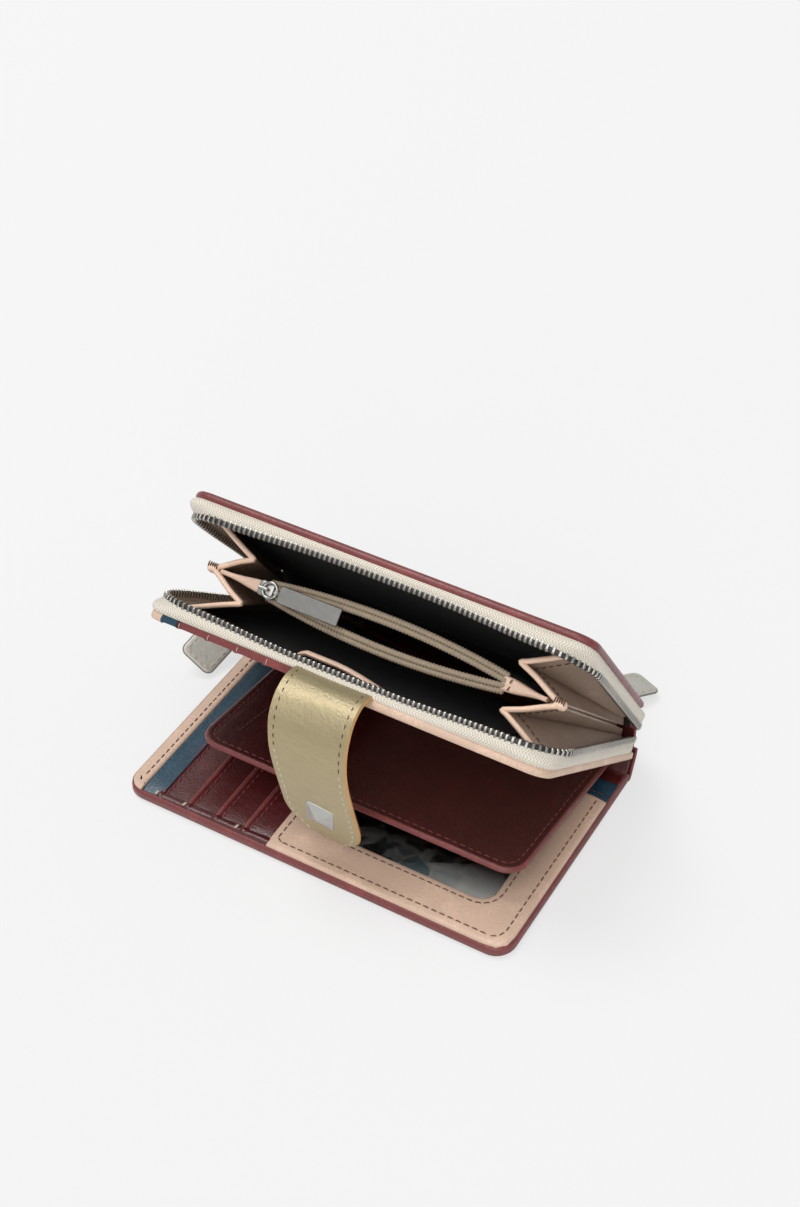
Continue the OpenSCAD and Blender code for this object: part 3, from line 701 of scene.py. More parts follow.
def folded_band(piece, wall, left, right, front, back, low, top, fold, side=1,
                finish=0, seed=0.0, slack=0.12, end_round=0.5, front_highlight=None,
                ridge=None):
    """A slot's leather: a soft fold along its left edge, then a gentle dip."""
    shape = [(0.0, 0.15), (-0.32, 0.45), (-0.35, 0.8), (-0.1, 1.0), (0.4, 1.0),
             (0.9, 1.0), (1.4, 1.0), (2.0, 1.0), (2.8, 1.0), (4.0, 1.0)]
    width, thick = right - left, top - low
    across = [(x, z) for x, z in shape if x < width - 0.6]
    across += [(x, 1.0) for x in (6, 8, 10, 14, 20, 30, 45, 60, 75) if x < width - 0.6]
    across.append((width, 1.0))
    rings = []
    rows = max(4, round((back - front) / 4))
    for i in range(rows + 1):
        y = front + (back - front) * i / rows
        end = 1 - end_round * max(0, 1 - (y - front) / 2.0)
        ring = []
        for x, z in across:
            wave = slack * ripple(left + x, y, 13, seed) * smooth(0.2, 3, x)
            wave += fold * math.exp(-((x - 0.7) / 0.85) ** 2)
            height = low + side * (abs(thick) * z * end + wave)
            ring.append(wall.at(left + x, y, height))
        ring.append(wall.at(right, y, low))
        ring.append(wall.at(left, y, low))
        rings.append(ring)
    first, n = len(piece.finishes), len(rings[0])
    piece.bridge(rings, finish, capped=True)
    # The front face may take its own finish; the pouch slots give it the rim colour, a
    # painted highlight.
    if front_highlight is not None:
        piece.finishes[-2] = front_highlight
    # The columns of the fold's ridge take their own finish; the card slots give them the
    # rim colour, a painted highlight.
    if ridge is not None:
        for i in range(rows):
            for k in range(6):
                piece.finishes[first + i * n + k] = ridge


# The covers' panels

PANEL_FRONT = INNER_FRONT + 0.4


def slot_span(k):
    """Left and right end of a card slot's leather; the next one lies over it."""
    left = SLOT_LEFT + k * SLOT_STEP
    return left, (FRAME_LEFT if k == SLOTS - 1 else left + SLOT_STEP) + SLOT_OVERLAP


class WALLET_OT_front_cover(bpy.types.Operator):
    """Build the front cover's skin with its turned edge, the gutter and the boards"""
    bl_idname = "wallet.front_cover"
    bl_label = "Front cover"

    def execute(self, context):
        skin = Piece()
        outline = tab(-COVER_HALF, COVER_HALF, COVER_FRONT, 45.2, COVER_CORNER)
        skin.stack(COVER, outline, [
            (5, 0.0), (4.0, 0.05), (3.2, 0.3), (2.4, 0.05), (1.6, 0.0), (0.5, 0.25),
            (0.0, 1.0), (0.0, 2.6), (0.15, 3.3), (0.55, 3.9), (1.1, 4.1), (1.6, 3.8),
            (1.9, 3.0), (3, 2.9)])
        sew = inset_outline(outline, 3.2)
        skin.stitch_line(COVER, [(-71.8, 44)] + sew[:18] + [(71.8, 44)], 0.42, 1, up=-1)
        # The whole skin takes the rim colour; only its rolled edge shows, as a painted
        # highlight.
        skin.done("front_cover_leather", "rim thread_red", "front_cover",
                  ["front_cover_shell", "front_cover_lining"])
        for node in ("front_cover_board", "pouch_wall_board", "back_cover_board"):
            dress_node(node, "board")
        dress_node("snap_socket", "nickel")
        return {"FINISHED"}


class WALLET_OT_card_side(bpy.types.Operator):
    """Build the card side: edge strip, teal slot and the four stepped card slots"""
    bl_idname = "wallet.card_side"
    bl_label = "Card side"

    def execute(self, context):
        strip = Piece()
        outline = tab(-INNER_HALF, TEAL_LEFT, INNER_FRONT, FRAME_BACK, 6.5 - 0.6, 0)
        strip.stack(COVER, outline, [
            (1, 2.9), (0.3, 2.9), (0.0, 3.3), (0.0, 4.3), (0.25, 4.8), (0.8, 5.0),
            (1.5, 5.02), (2.3, 4.95)])
        strip.stitch_line(COVER, [(-70.2, INNER_FRONT + 6), (-70.2, 27.5)], 5.0, 1)
        strip.done("tan_edge_strip_leather", "tan thread_dark",
                   "front_cover", ["tan_edge_strip"])
        slot = Piece()
        folded_band(slot, COVER, TEAL_LEFT, SLOT_LEFT + SLOT_OVERLAP, PANEL_FRONT,
                    FRAME_BACK, 2.9, 4.2, 0.2, seed=3)
        slot.done("teal_slot_leather", "teal", "front_cover", ["teal_slot"])
        for k in range(SLOTS):
            slot = Piece()
            left, right = slot_span(k)
            top = PANEL_LOW + 0.55 * (k + 1)
            # The fold ridge along each slot's left edge takes the rim colour: a painted
            # highlight.
            folded_band(slot, COVER, left, right, PANEL_FRONT, FRAME_BACK, 2.9,
                        top, 0.7, seed=k, ridge=2)
            slot.stitch_line(COVER, [(left + 2.7, PANEL_FRONT + 3), (left + 2.7, 27.5)],
                             lambda x, y, z=top: z + 0.1, 1)
            slot.done(f"card_slot_{k + 1}_leather",
                      "burgundy thread_red rim", "front_cover",
                      [f"card_slot_{k + 1}"])
        self.build_welt()
        return {"FINISHED"}

    def build_welt(self):
        """The folded welt over the slots' front ends, and its pale bar tacks."""
        welt = Piece()
        edges = [slot_span(k)[0] + 1 for k in range(SLOTS)]
        rings = []
        for x in spread(SLOT_LEFT + 0.3, FRAME_LEFT + 0.6, 90):
            bump = sum(0.45 * math.exp(-((x - e) / 0.9) ** 2) for e in edges)
            top = 4.15 + 0.55 * (x - SLOT_LEFT) / SLOT_STEP * 0.55 + bump
            wave = 0.15 * ripple(x, 2, 6, 9)
            rings.append([COVER.at(x, y, z) for y, z in (
                (-46.2, 3.0), (-46.3, top - 0.5), (-45.8, top), (-44.9, top + 0.1),
                (-43.9 + wave, top - 0.05), (-43.2 + wave, top - 0.6), (-43.1, 3.0))])
        welt.bridge(rings, 0, capped=True)
        for x in (edges[0] - 1.6, edges[1] - 1.6, edges[3] - 3.2):
            for k in range(3):
                at = COVER.at(x + 0.3 * k, -44.9,
                              4.55 + 0.3 * (x - SLOT_LEFT) / SLOT_STEP)
                welt.stitch(at, Vector((0.1, 1, 0)), Vector((0, 0, 1)), 1.9, 0.32, 1)
        welt.done("card_slot_welt", "burgundy thread_pale", "front_cover")


class WALLET_OT_identity_window(bpy.types.Operator):
    """Build the tan identity frame, its clear film and printed lining, and the band"""
    bl_idname = "wallet.identity_window"
    bl_label = "Identity window"

    def execute(self, context):
        left, right, front, back = WINDOW
        frame_piece = Piece()
        corner = COVER_CORNER - 1.4
        outer = tab(FRAME_LEFT, INNER_HALF, INNER_FRONT, FRAME_BACK, 0, corner)
        inner = rounded(left, right, front, back, WINDOW_CORNER)
        n = 96
        outer_line = even_loop(outer, n, (left + right) / 2, (front + back) / 2)
        inner_line = even_loop(inner, n, (left + right) / 2, (front + back) / 2)
        rings = []
        for mix, z in ((0.02, 2.9), (0.0, 3.1), (0.0, 4.9), (0.02, 5.35), (0.07, 5.55),
                       (0.2, 5.5), (0.5, 5.42), (0.8, 5.5), (0.93, 5.58), (0.98, 5.35),
                       (1.0, 4.9), (1.0, 3.7), (0.98, 3.62)):
            rings.append([COVER.at(a[0] + (b[0] - a[0]) * mix, a[1] + (b[1] - a[1]) * mix,
                                   z) for a, b in zip(outer_line, inner_line)])
        frame_piece.bridge(rings, 0)
        frame_piece.bridge([rings[-1], rings[0]], 0)
        border = inset_outline(inner, -2.4)
        frame_piece.stitch_line(COVER, border + border[:1], 5.56, 1)
        frame_piece.stitch_line(COVER, [(FRAME_LEFT + 2.6, 27), (FRAME_LEFT + 2.6, -43.5),
                                        (66, -43.5)], 5.56, 1)
        frame_piece.stitch_line(COVER, arc(66, -39, 4.8, 280, 360) + [(71, 27)], 5.5, 1)
        frame_piece.done("identity_frame_leather", "tan thread_dark",
                         "front_cover", ["identity_frame"])
        pane = rounded(left - 3, right + 3, front - 3, back + 3, 7)
        for name, finish, node, low, high in (
                ("window_film_sheet", "film", "window_film", 3.3, 3.58),
                ("window_lining_cloth", "print", "window_lining", 2.95, 3.2)):
            layer = Piece()
            layer.slab(COVER, pane, low, high, 0.1)
            layer.done(name, finish, "front_cover", [node])
        band = Piece()
        rings = []
        for i in range(41):
            x = -INNER_HALF + 2 * INNER_HALF * i / 40
            w = 0.12 * ripple(x, 3, 16, 5)
            rings.append([COVER.at(x, y, z + (w if z > 3.5 else 0)) for y, z in (
                (28.2, 2.9), (28.0, 3.6), (28.2, 4.3), (28.8, 4.75), (29.8, 4.9),
                (31.2, 4.7), (33, 4.5), (35.4, 4.45), (36.8, 4.5), (37.7, 4.3),
                (38.1, 3.7), (38.0, 2.9))])
        band.bridge(rings, 0, capped=True)
        band.stitch_line(COVER, [(-72, 30.8), (72, 30.8)], 4.78, 1)
        band.done("teal_band_leather", "teal thread_dark", "front_cover",
                  ["teal_band"])
        return {"FINISHED"}


def even_loop(outline, count, cx, cy):
    """Points of a closed outline at equal angles round a centre."""
    loop = list(outline) + [outline[0]]
    points = []
    for angle in turn(count):
        ray = Vector((math.cos(angle), math.sin(angle)))
        best = None
        for (ax, ay), (bx, by) in zip(loop, loop[1:]):
            d = Vector((bx - ax, by - ay))
            cross = ray.x * d.y - ray.y * d.x
            if abs(cross) < 1e-9:
                continue
            rel = Vector((ax - cx, ay - cy))
            far = (rel.x * d.y - rel.y * d.x) / cross
            part = (rel.x * ray.y - rel.y * ray.x) / cross
            if far > 0 and -1e-6 <= part <= 1 + 1e-6 and (best is None or far > best):
                best = far
        points.append((cx + ray.x * best, cy + ray.y * best))
    return points


def ribbon(piece, profile, half, thickness, finish=0, seed=0.0, slack=0.25, step=3.0,
           edge=None, under=None):
    """A leather strip that follows a profile in (y, z) and runs along the spine."""
    line = resample(profile, 1.2)
    count = round(2 * half / step)
    grid = []
    for i, (y, z) in enumerate(line):
        fade = math.sin(math.pi * i / (len(line) - 1))
        row = []
        for k in range(count + 1):
            x = -half + 2 * half * k / count
            w = slack * fade * ripple(x, z * 1.7 + y, 11, seed)
            row.append(Vector((x, y + w, z + w * 0.4)))
        grid.append(row)
    piece.sheet(grid, thickness, finish, edge, under=under)


class WALLET_OT_spine(bpy.types.Operator):
    """Build the spine leather, in strips that bend where the wallet folds"""
    bl_idname = "wallet.spine"
    bl_label = "Spine"

    def execute(self, context):
        half = COVER_HALF - 0.3
        # The strips' edges take the rim colour: a painted highlight.
        names = "burgundy rim lining"
        low = Piece()
        ribbon(low, [(44.9, 0.75), (45.8, 1.3), (46.5, 2.8), (47.2, 4.9), (48.3, 7.4),
                     (49.2, 9.8), (49.7, 12.2)], half, 1.3, seed=1, edge=1)
        ribbon(low, [(37.6, 3.9), (39.5, 3.7), (42, 3.3), (43.9, 3.5), (45.0, 4.6),
                     (46.0, 6.6), (46.9, 8.4)], half - 1, 0.9, seed=2, slack=0.4)
        piece = low.done("spine_lower_leather", names,
                         replaces=["spine_strip", "gutter_lining"])
        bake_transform(piece)
        middle = Piece()
        ribbon(middle, [(49.9, 11.7), (50.4, 14), (50.9, 17), (51.2, 20)], half - 1.8,
               1.3, seed=3, slack=0.1, edge=1)
        ribbon(middle, [(46.6, 8.9), (47.2, 10.4), (47.3, 12.4), (48.0, 14.0)], half - 4,
               1.0, seed=4, slack=0.1)
        piece = middle.done("spine_middle_leather", names)
        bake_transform(piece)
        high = Piece()
        ribbon(high, [(51.2, 19.6), (51.45, 23), (51.6, 26.5), (51.7, 30.0)], half - 3.6,
               1.3, 2, seed=5, slack=0.1, edge=1, under=0)
        piece = high.done("spine_upper_leather", names, replaces=["pouch_base"])
        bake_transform(piece)
        top = Piece()
        ribbon(top, [(51.7, 29.6), (51.7, 31.5), (51.3, 33.4), (50.6, 35.4)], half - 3.6,
               1.2, 2, seed=6, slack=0.1, edge=1, under=0)
        piece = top.done("spine_top_leather", names)
        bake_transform(piece)
        return {"FINISHED"}


class WALLET_OT_middle_flap(bpy.types.Operator):
    """Build the loose middle flap, with its rounded edge, stitching and slit"""
    bl_idname = "wallet.middle_flap"
    bl_label = "Middle flap"

    def execute(self, context):
        flap = Piece()
        left, right, front, back = -56.6, 68.4, -78.0, -2.7
        outline = tab(left, right, front, back, 8)
        # The flap's rounded edge, steps one to six of the profile, takes the rim colour:
        # a painted highlight.
        flap.stack(FLAP, outline, [
            (6, -2.35), (1.4, -2.4), (0.45, -2.1), (0.0, -1.4), (0.0, -1.0), (0.35, -0.3),
            (1.1, 0.05), (2.2, 0.0), (3.2, -0.2), (4.4, -0.05), (6, 0.0)], 0, 3, (1, 6))
        line = inset_outline(outline, 3.1)
        for k in range(9):
            x = left + 10.5 + 0.16 * k
            y = front + 12 + 2.1 * k
            flap.stitch(FLAP.at(x, y, 0.0), FLAP.way(0.1, 1, 0),
                        FLAP.way(0, 0, 1), 2.0, 0.45, 2)
        seam = [(left + 3.1, back - 3)] + line[:18] + [(right - 3.1, back - 3)]
        flap.stitch_line(FLAP, seam, -0.18, 1)
        flap.stitch_line(FLAP, seam, -2.38, 1, up=-1)
        # The flap's leather is the darker copy of the burgundy: painted shade under the
        # pouch.
        flap.done("middle_flap_leather", "burgundy_deep thread_red thread_dark rim",
                  "middle_flap", ["flap_upper_leather", "flap_lower_leather"])
        return {"FINISHED"}


class WALLET_OT_pouch_wall(bpy.types.Operator):
    """Build the pouch's lower wall: its stepped outer face and its lining"""
    bl_idname = "wallet.pouch_wall"
    bl_label = "Pouch wall"

    def execute(self, context):
        back = -2.2
        edge = Piece()
        outline = tab(-COVER_HALF, TEAL_LEFT, LOWER_FRONT, back, COVER_CORNER - 0.6, 0)
        edge.stack(LOWER, outline, [
            (2.4, 2.95), (1.3, 3.0), (0.5, 2.8), (0.1, 2.3), (0.0, 1.5), (0.0, 0.6),
            (0.4, 0.1), (1.2, -0.1), (2.4, 0.0)])
        edge.stitch_line(LOWER, [(-71.6, LOWER_FRONT + 7), (-71.6, -6)], -0.05, 1, up=-1)
        edge.done("pouch_tan_edge_leather", "tan thread_dark", "pouch_wall",
                  ["pouch_tan_edge"])
        slot = Piece()
        folded_band(slot, LOWER, TEAL_LEFT, SLOT_LEFT + SLOT_OVERLAP, LOWER_FRONT, back,
                    2.95, 0.1, 0.12, side=-1, seed=13, slack=0.05, end_round=0.15)
        slot.done("pouch_teal_slot_leather", "teal", "pouch_wall",
                  ["pouch_teal_slot"])
        for k in range(SLOTS):
            slot = Piece()
            left, right = slot_span(k)
            # Each slot's front face takes the rim colour: a painted highlight.
            folded_band(slot, LOWER, left, right, LOWER_FRONT - 0.15 * k, back, 2.95,
                        0.3 - 0.1 * k, 0.3, side=-1, seed=20 + k, slack=0.05,
                        end_round=0.12, front_highlight=3)
            slot.stitch(LOWER.at(left + 1.2, LOWER_FRONT - 0.25 - 0.15 * k, 1.5),
                        LOWER.way(0, 0, 1),
                        LOWER.way(0, -1, 0), 1.8, 0.3, 2)
            slot.stitch_line(LOWER, [(left + 2.5, LOWER_FRONT + 3), (left + 2.5, -6)],
                             0.1 - 0.1 * k, 1, up=-1)
            slot.done(f"pouch_card_slot_{k + 1}_leather",
                      "burgundy thread_red thread_pale rim",
                      "pouch_wall",
                      [f"pouch_card_slot_{k + 1}"])
        panel = Piece()
        outline = tab(FRAME_LEFT, COVER_HALF, LOWER_FRONT, back, 0, COVER_CORNER - 0.6)
        panel.stack(LOWER, outline, [
            (2.6, 2.95), (1.3, 3.0), (0.5, 2.8), (0.1, 2.3), (0.0, 1.5), (0.0, 0.6),
            (0.4, 0.1), (1.2, -0.15), (2.6, -0.05), (4, 0.05)])
        line = inset_outline(outline, 3.4)
        panel.stitch_line(LOWER, [(FRAME_LEFT + 3.4, -6), line[0]] + line[1:10]
                          + [(71.6, -6)], -0.02, 1, up=-1)
        panel.done("pouch_tan_panel_leather", "tan thread_dark",
                   "pouch_wall", ["pouch_tan_panel"])
        lining = Piece()
        lining.slab(LOWER, tab(-LINING_HALF, LINING_HALF, LOWER_FRONT + LINING_INSET,
                               back, COVER_CORNER - 2), 2.6, 3.15, 0.2)
        lining.done("pouch_lining_cloth", "lining", "pouch_wall",
                    ["pouch_lining"])
        return {"FINISHED"}


class WALLET_OT_slip_pocket(bpy.types.Operator):
    """Build the slip pocket on the pouch's lining, with its bound mouth"""
    bl_idname = "wallet.slip_pocket"
    bl_label = "Slip pocket"

    def execute(self, context):
        pocket = Piece()
        left, right, mouth = -22, 50, -86.5

        def puff(k):
            """Height of the mouth: steep at its left end, then slowly down."""
            t = k / 36
            return 4.4 * smooth(0, 0.08, t) * (1 - smooth(0.22, 0.7, t))

        rows = []
        for i in range(26):
            y = mouth + (-12 - mouth) * i / 25
            rise = math.exp(-(y - mouth) / 3.2)
            rows.append([LOWER.at(left + (right - left) * k / 36, y, 3.4 + puff(k) * rise
                                  + 0.1 * ripple(k * 4, y, 12, 7)) for k in range(37)])
        pocket.sheet(rows, 0.4)
        pocket.done("slip_pocket_cloth", "lining", "pouch_wall",
                    ["slip_pocket"])
        binding = Piece()
        stations = []
        for k in range(37):
            x = left - 0.8 + (right - left + 1.6) * k / 36
            stations.append((LOWER.at(x, mouth - 0.4, 3.5 + puff(k)),
                             LOWER.way(0, -1, 0),
                             LOWER.way(0, 0, 1)))
        binding.tube(stations, round_section(1.6, 10, 0.6))
        binding.done("slip_pocket_binding_leather", "tan thread_dark",
                     "pouch_wall", ["slip_pocket_binding"])
        return {"FINISHED"}


# The zip round the pouch


def zip_path(front, back, step):
    """Points of a row: round the back corners, the sides and the front."""
    f, b, r, q, h = front, back, ZIP_CORNER, ZIP_BACK_CORNER, ZIP_HALF
    line = ([(-ZIP_END, b)] + arc(-h + q, b - q, q, 90, 180) + arc(-h + r, f + r, r, 180,
            270, 14) + arc(h - r, f + r, r, 270, 360, 14) + arc(h - q, b - q, q, 0, 90)
            + [(ZIP_END, b)])
    return resample(line, step)


def tape_foot(x, y, front):
    """Where the tape is sewn to the wall below a point of the row: near the edge."""
    reach = ZIP_CORNER + FOOT_OUT
    dx, dy = abs(x) - ZIP_HALF + ZIP_CORNER, front + ZIP_CORNER - y
    if dx <= 0:
        return x, y - FOOT_OUT
    if dy <= 0:
        return x + math.copysign(FOOT_OUT, x), y
    size = math.hypot(dx, dy)
    ux, uy = dx / size, dy / size
    inner = reach - FOOT_CORNER
    far = min(reach / max(ux, 1e-6), reach / max(uy, 1e-6))
    if far * ux > inner and far * uy > inner:
        across = (ux + uy) * inner
        far = across + math.sqrt(max(0, across ** 2 - 2 * inner ** 2 + FOOT_CORNER ** 2))
    return (math.copysign(ZIP_HALF - ZIP_CORNER + far * ux, x),
            front + ZIP_CORNER - far * uy)


def corner_swell(x, y, front):
    """How much the tape is pushed out near a front corner, from 0 to 1."""
    return smooth(25, 66, abs(x)) * smooth(front + 62, front + 12, y)


def row_rise(x, y, front):
    """Height of the teeth over their height in the part, along the row."""
    dip = smooth(52, 10, abs(x)) * smooth(front + 12, front + 2, y)
    return 1.2 * corner_swell(x, y, front) - 0.9 * dip


TOP_PUSH = 2.2


def zip_row(front, back, wall, side, finish_names, tape_name, teeth_name, body,
            replaced, offset):
    """One row: the woven tape that stands off the wall, its cord and its teeth."""
    sizes = bpy.context.scene.wallet_sizes
    tape = Piece()
    rows = []
    path = zip_path(front, back, 1.6)
    stations = outward_path(wall, path, 0)
    for (x, y), (point, out, up) in zip(path, stations):
        swell = corner_swell(x, y, front)
        top = TEETH_LOW + row_rise(x, y, front)
        loose = smooth(-3, 1, y - (back - 5))
        base = WALL_T - 0.1 + loose * 2.2
        foot = wall.at(*tape_foot(x, y, front), 0).lerp(point, loose)
        row = []
        for k in range(9):
            t = k / 8
            z = base + (top - base) * t
            push = TOP_PUSH * swell * t + (0.5 + swell) * math.sin(math.pi * t)
            push += 0.12 * ripple(x, y + 9 * t, 6, side)
            row.append(foot.lerp(point, smooth(0.1, 1, t)) + out * push + up * (z * side))
        rows.append(row)
    tape.sheet(rows, 0.7)
    # The cord under the teeth takes the near-black finish: painted shade in the gaps
    # between the teeth.
    cord = [(row[-1], out, up * side) for row, (point, out, up) in zip(rows, stations)]
    tape.tube(cord, [(a * 0.75, 0.1 + b * 1.3) for a, b in round_section(1, 12)], 1)
    tape.done(tape_name, finish_names, body, [replaced[0]])
    teeth = Piece()
    pitch = sizes.tooth_pitch / MM
    path = zip_path(front, back, pitch)
    stations = outward_path(wall, path, 0)
    shape = [(-0.95, -0.9), (-1.05, -0.4), (-1.05, 0.9), (-0.75, 1.4), (-0.3, 1.55),
             (0.3, 1.55), (0.75, 1.4), (1.05, 0.9), (1.05, -0.4), (0.95, -0.9)]
    for i in range(1, len(path) - 1):
        x, y = path[i]
        point, out, up = stations[i]
        along = (stations[i + 1][0] - stations[i - 1][0]).normalized()
        centre = point + along * (offset * pitch) + out * (
            corner_swell(x, y, front) * TOP_PUSH) + up * (
            (TEETH_LOW + row_rise(x, y, front)) * side)
        rings = []
        for t, size in ((-0.46, 0.86), (-0.3, 1.0), (0.3, 1.0), (0.46, 0.86)):
            rings.append([centre + along * t + out * (a * size) + up * (
                side * (0.3 + (b - 0.3) * size)) for a, b in shape])
        teeth.bridge(rings, 0, capped=True)
    teeth.done(teeth_name, "tooth", body, [replaced[1]], sharp=35)


class WALLET_OT_zip(bpy.types.Operator):
    """Build the two rows of the zip, tooth by tooth, and their woven tapes"""
    bl_idname = "wallet.zip"
    bl_label = "Zip rows"

    def execute(self, context):
        zip_row(LOWER_FRONT + 2, 2.2, LOWER, 1, "tape cord", "lower_tape_weave",
                "lower_teeth_row", "pouch_wall", ["lower_zip_tape", "lower_zip_teeth"], 0)
        zip_row(BACK_FRONT + 2, 8.8, BACK, -1, "tape cord", "upper_tape_weave",
                "upper_teeth_row", "back_cover", ["upper_zip_tape", "upper_zip_teeth"],
                0.5)
        return {"FINISHED"}


class WALLET_OT_back_cover(bpy.types.Operator):
    """Build the back cover with its piped edge and its lining"""
    bl_idname = "wallet.back_cover"
    bl_label = "Back cover"

    def execute(self, context):
        shell = Piece()
        outline = tab(-COVER_HALF, COVER_HALF, BACK_FRONT, BACK_START, COVER_CORNER)
        # The piped edge, the first nine steps of the profile, takes the rim colour: a
        # painted highlight.
        shell.stack(BACK, outline, [
            (4, -2.95), (2.2, -3.05), (1.1, -3.0), (0.4, -2.6), (0.0, -1.9), (0.0, -1.3),
            (0.3, -0.5), (1.0, 0.05), (2.0, 0.2), (3.2, 0.05), (4.2, -0.25), (5.2, -0.05),
            (6.2, 0.05)], 0, 2, (0, 9))
        line = inset_outline(outline, 4.2)
        shell.stitch_line(BACK, [(-70.8, -9)] + line[:18] + [(70.8, -9)], -0.18, 1)
        shell.done("back_cover_leather", "burgundy thread_red rim",
                   "back_cover", ["back_cover_shell"])
        lining = Piece()
        lining.slab(BACK, tab(-LINING_HALF, LINING_HALF, BACK_FRONT + LINING_INSET,
                              BACK_START, COVER_CORNER - 2), -3.15, -2.6, 0.2)
        lining.done("back_cover_lining_cloth", "lining", "back_cover",
                    ["back_cover_lining"])
        return {"FINISHED"}


# The coin pocket in the middle of the pouch

COIN_X, COIN_HALF, COIN_GAP = 6.0, 48.0, 3.9
COIN_START, COIN_END, COIN_TOP = 15.0, 81.0, 88.2
TAB_IN = {"left": 4, "right": 5}


def coin_gap(x):
    """Half of the coin pocket's opening at a place along the spine."""
    t = (x - COIN_X) / COIN_HALF
    return 0.35 + COIN_GAP * max(0, 1 - t * t)


def flatten(piece):
    """Give a side of the coin pocket a mesh of its own."""
    middle = MID.at(COIN_X, -COIN_END, 0)
    across = MID.at(COIN_X, -COIN_END, 1) - middle
    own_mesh(piece)


class WALLET_OT_coin_pocket(bpy.types.Operator):
    """Build the coin pocket's lined walls, zip tapes with coils, and end tabs"""
    bl_idname = "wallet.coin_pocket"
    bl_label = "Coin pocket"

    def execute(self, context):
        for side, name in ((-1, "lower"), (1, "upper")):
            wall = Piece()
            rows = []
            for i in range(25):
                s = COIN_START + (COIN_END + 0.6 - COIN_START) * i / 24
                rows.append([MID.at(x, -s, side * (coin_gap(x) + 0.1
                             * ripple(x, s, 14, side))) for x in spread(-36, 48, 28)])
            wall.sheet(rows, 0.5)
            piece = wall.done(f"coin_wall_{name}_cloth", "lining",
                              "coin_pocket", [f"coin_wall_{name}"])
            flatten(piece)
            tape = Piece()
            rows = []
            for s in spread(COIN_END - 0.4, COIN_TOP, 5):
                rows.append([MID.at(x, -s, side * (coin_gap(x) + 0.15))
                             for x in spread(-38.5, 50.5, 40)])
            tape.sheet(rows, 0.6)
            sizes = bpy.context.scene.wallet_sizes
            for s, r, push in ((COIN_TOP, 1.0, -0.35), (COIN_TOP - 0.5, 1.05, 1.45)):
                cord = []
                step = sizes.rib_pitch / MM / 4
                xs = spread(-38, 50, round(88 / step))
                for k, x in enumerate(xs):
                    rib = 1 + 0.15 * math.cos(math.tau * k / 4)
                    centre = MID.at(x, -s, side * (coin_gap(x) + 0.15 + push))
                    cord.append([centre + MID.at(0, a * r * rib, b * r * rib)
                                 - MID.at(0, 0, 0) for a, b in round_section(1, 8)])
                tape.bridge(cord, 1, capped=True)
            piece = tape.done(f"coin_tape_{name}_weave", "tape coil",
                              "coin_pocket", [f"coin_tape_{name}"])
            flatten(piece)
        for side, name, end in ((-1, "left", -60.0), (1, "right", 66.5)):
            leaf = Piece()
            near = COIN_X + side * (COIN_HALF - TAB_IN[name])
            rings = []
            for k in range(13):
                t = k / 12
                x = near + (end - side * 2.5 - near) * t
                half = 2.5 - 1.7 * smooth(0, 0.9, t)
                ring = rounded(-half, half, -COIN_TOP - 0.7 + 1.2 * t, -81,
                               min(half, 1.1))
                rings.append([MID.at(x, y, n) for n, y in ring])
            leaf.bridge(rings, 0, capped=True)
            web = [[MID.at(x, -s, 0.3 * ripple(x, s, 9, side)) for x in spread(
                min(COIN_X + side * 41.5, end), max(COIN_X + side * 41.5, end), 8)]
                for s in spread(9, 82, 22)]
            leaf.sheet(web, 0.9)
            for n in (-1.2, 1.2):
                leaf.stitch(MID.at(near + side * 2.6, -COIN_TOP - 0.7, n),
                            MID.way(side * 0.3, 0, 1),
                            MID.way(0, -1, 0), 1.7, 0.5, 1)
            leaf.done(f"coin_tab_{name}_leather", "tan thread_dark",
                      "coin_pocket", [f"coin_tab_{name}"])
        return {"FINISHED"}


def gusset_line(side, up, s, fold_x, fold_n, root_x):
    """The folded section of a gusset at a distance from the pivot."""
    t = (s - 14) / 72
    edge = Vector((side * 71.2, s * math.sin(math.radians(HALF_ANGLE)) + 5.3))
    fold = Vector((side * ((1 - t) * 69 + t * fold_x), fold_n * (0.35 + 0.65 * t)))
    root = Vector((side * (root_x + 1 - t), 0.55))
    knots = [edge, edge.lerp(fold, 0.3) + Vector((0, 0.2)), edge.lerp(fold, 0.62),
             edge.lerp(fold, 0.9), fold.lerp(edge, 0.02) + Vector((-side * 0.5, -0.1)),
             fold.lerp(root, 0.1), fold.lerp(root, 0.4) + Vector((0, 0.3)),
             fold.lerp(root, 0.75), root]
    return [(p.x, up * p.y) for p in resample_knots(knots, 20)]


def resample_knots(knots, count):
    """A smooth line through a few points, by their Catmull-Rom curve."""
    out = []
    last = len(knots) - 1
    for i in range(count + 1):
        t = last * i / count
        k = min(int(t), last - 1)
        u = t - k
        p0, p1 = knots[max(0, k - 1)], knots[k]
        p2, p3 = knots[k + 1], knots[min(last, k + 2)]
        out.append(0.5 * (2 * p1 + (p2 - p0) * u
                          + (2 * p0 - 5 * p1 + 4 * p2 - p3) * u ** 2
                          + (3 * p1 - p0 - 3 * p2 + p3) * u ** 3))
    return out


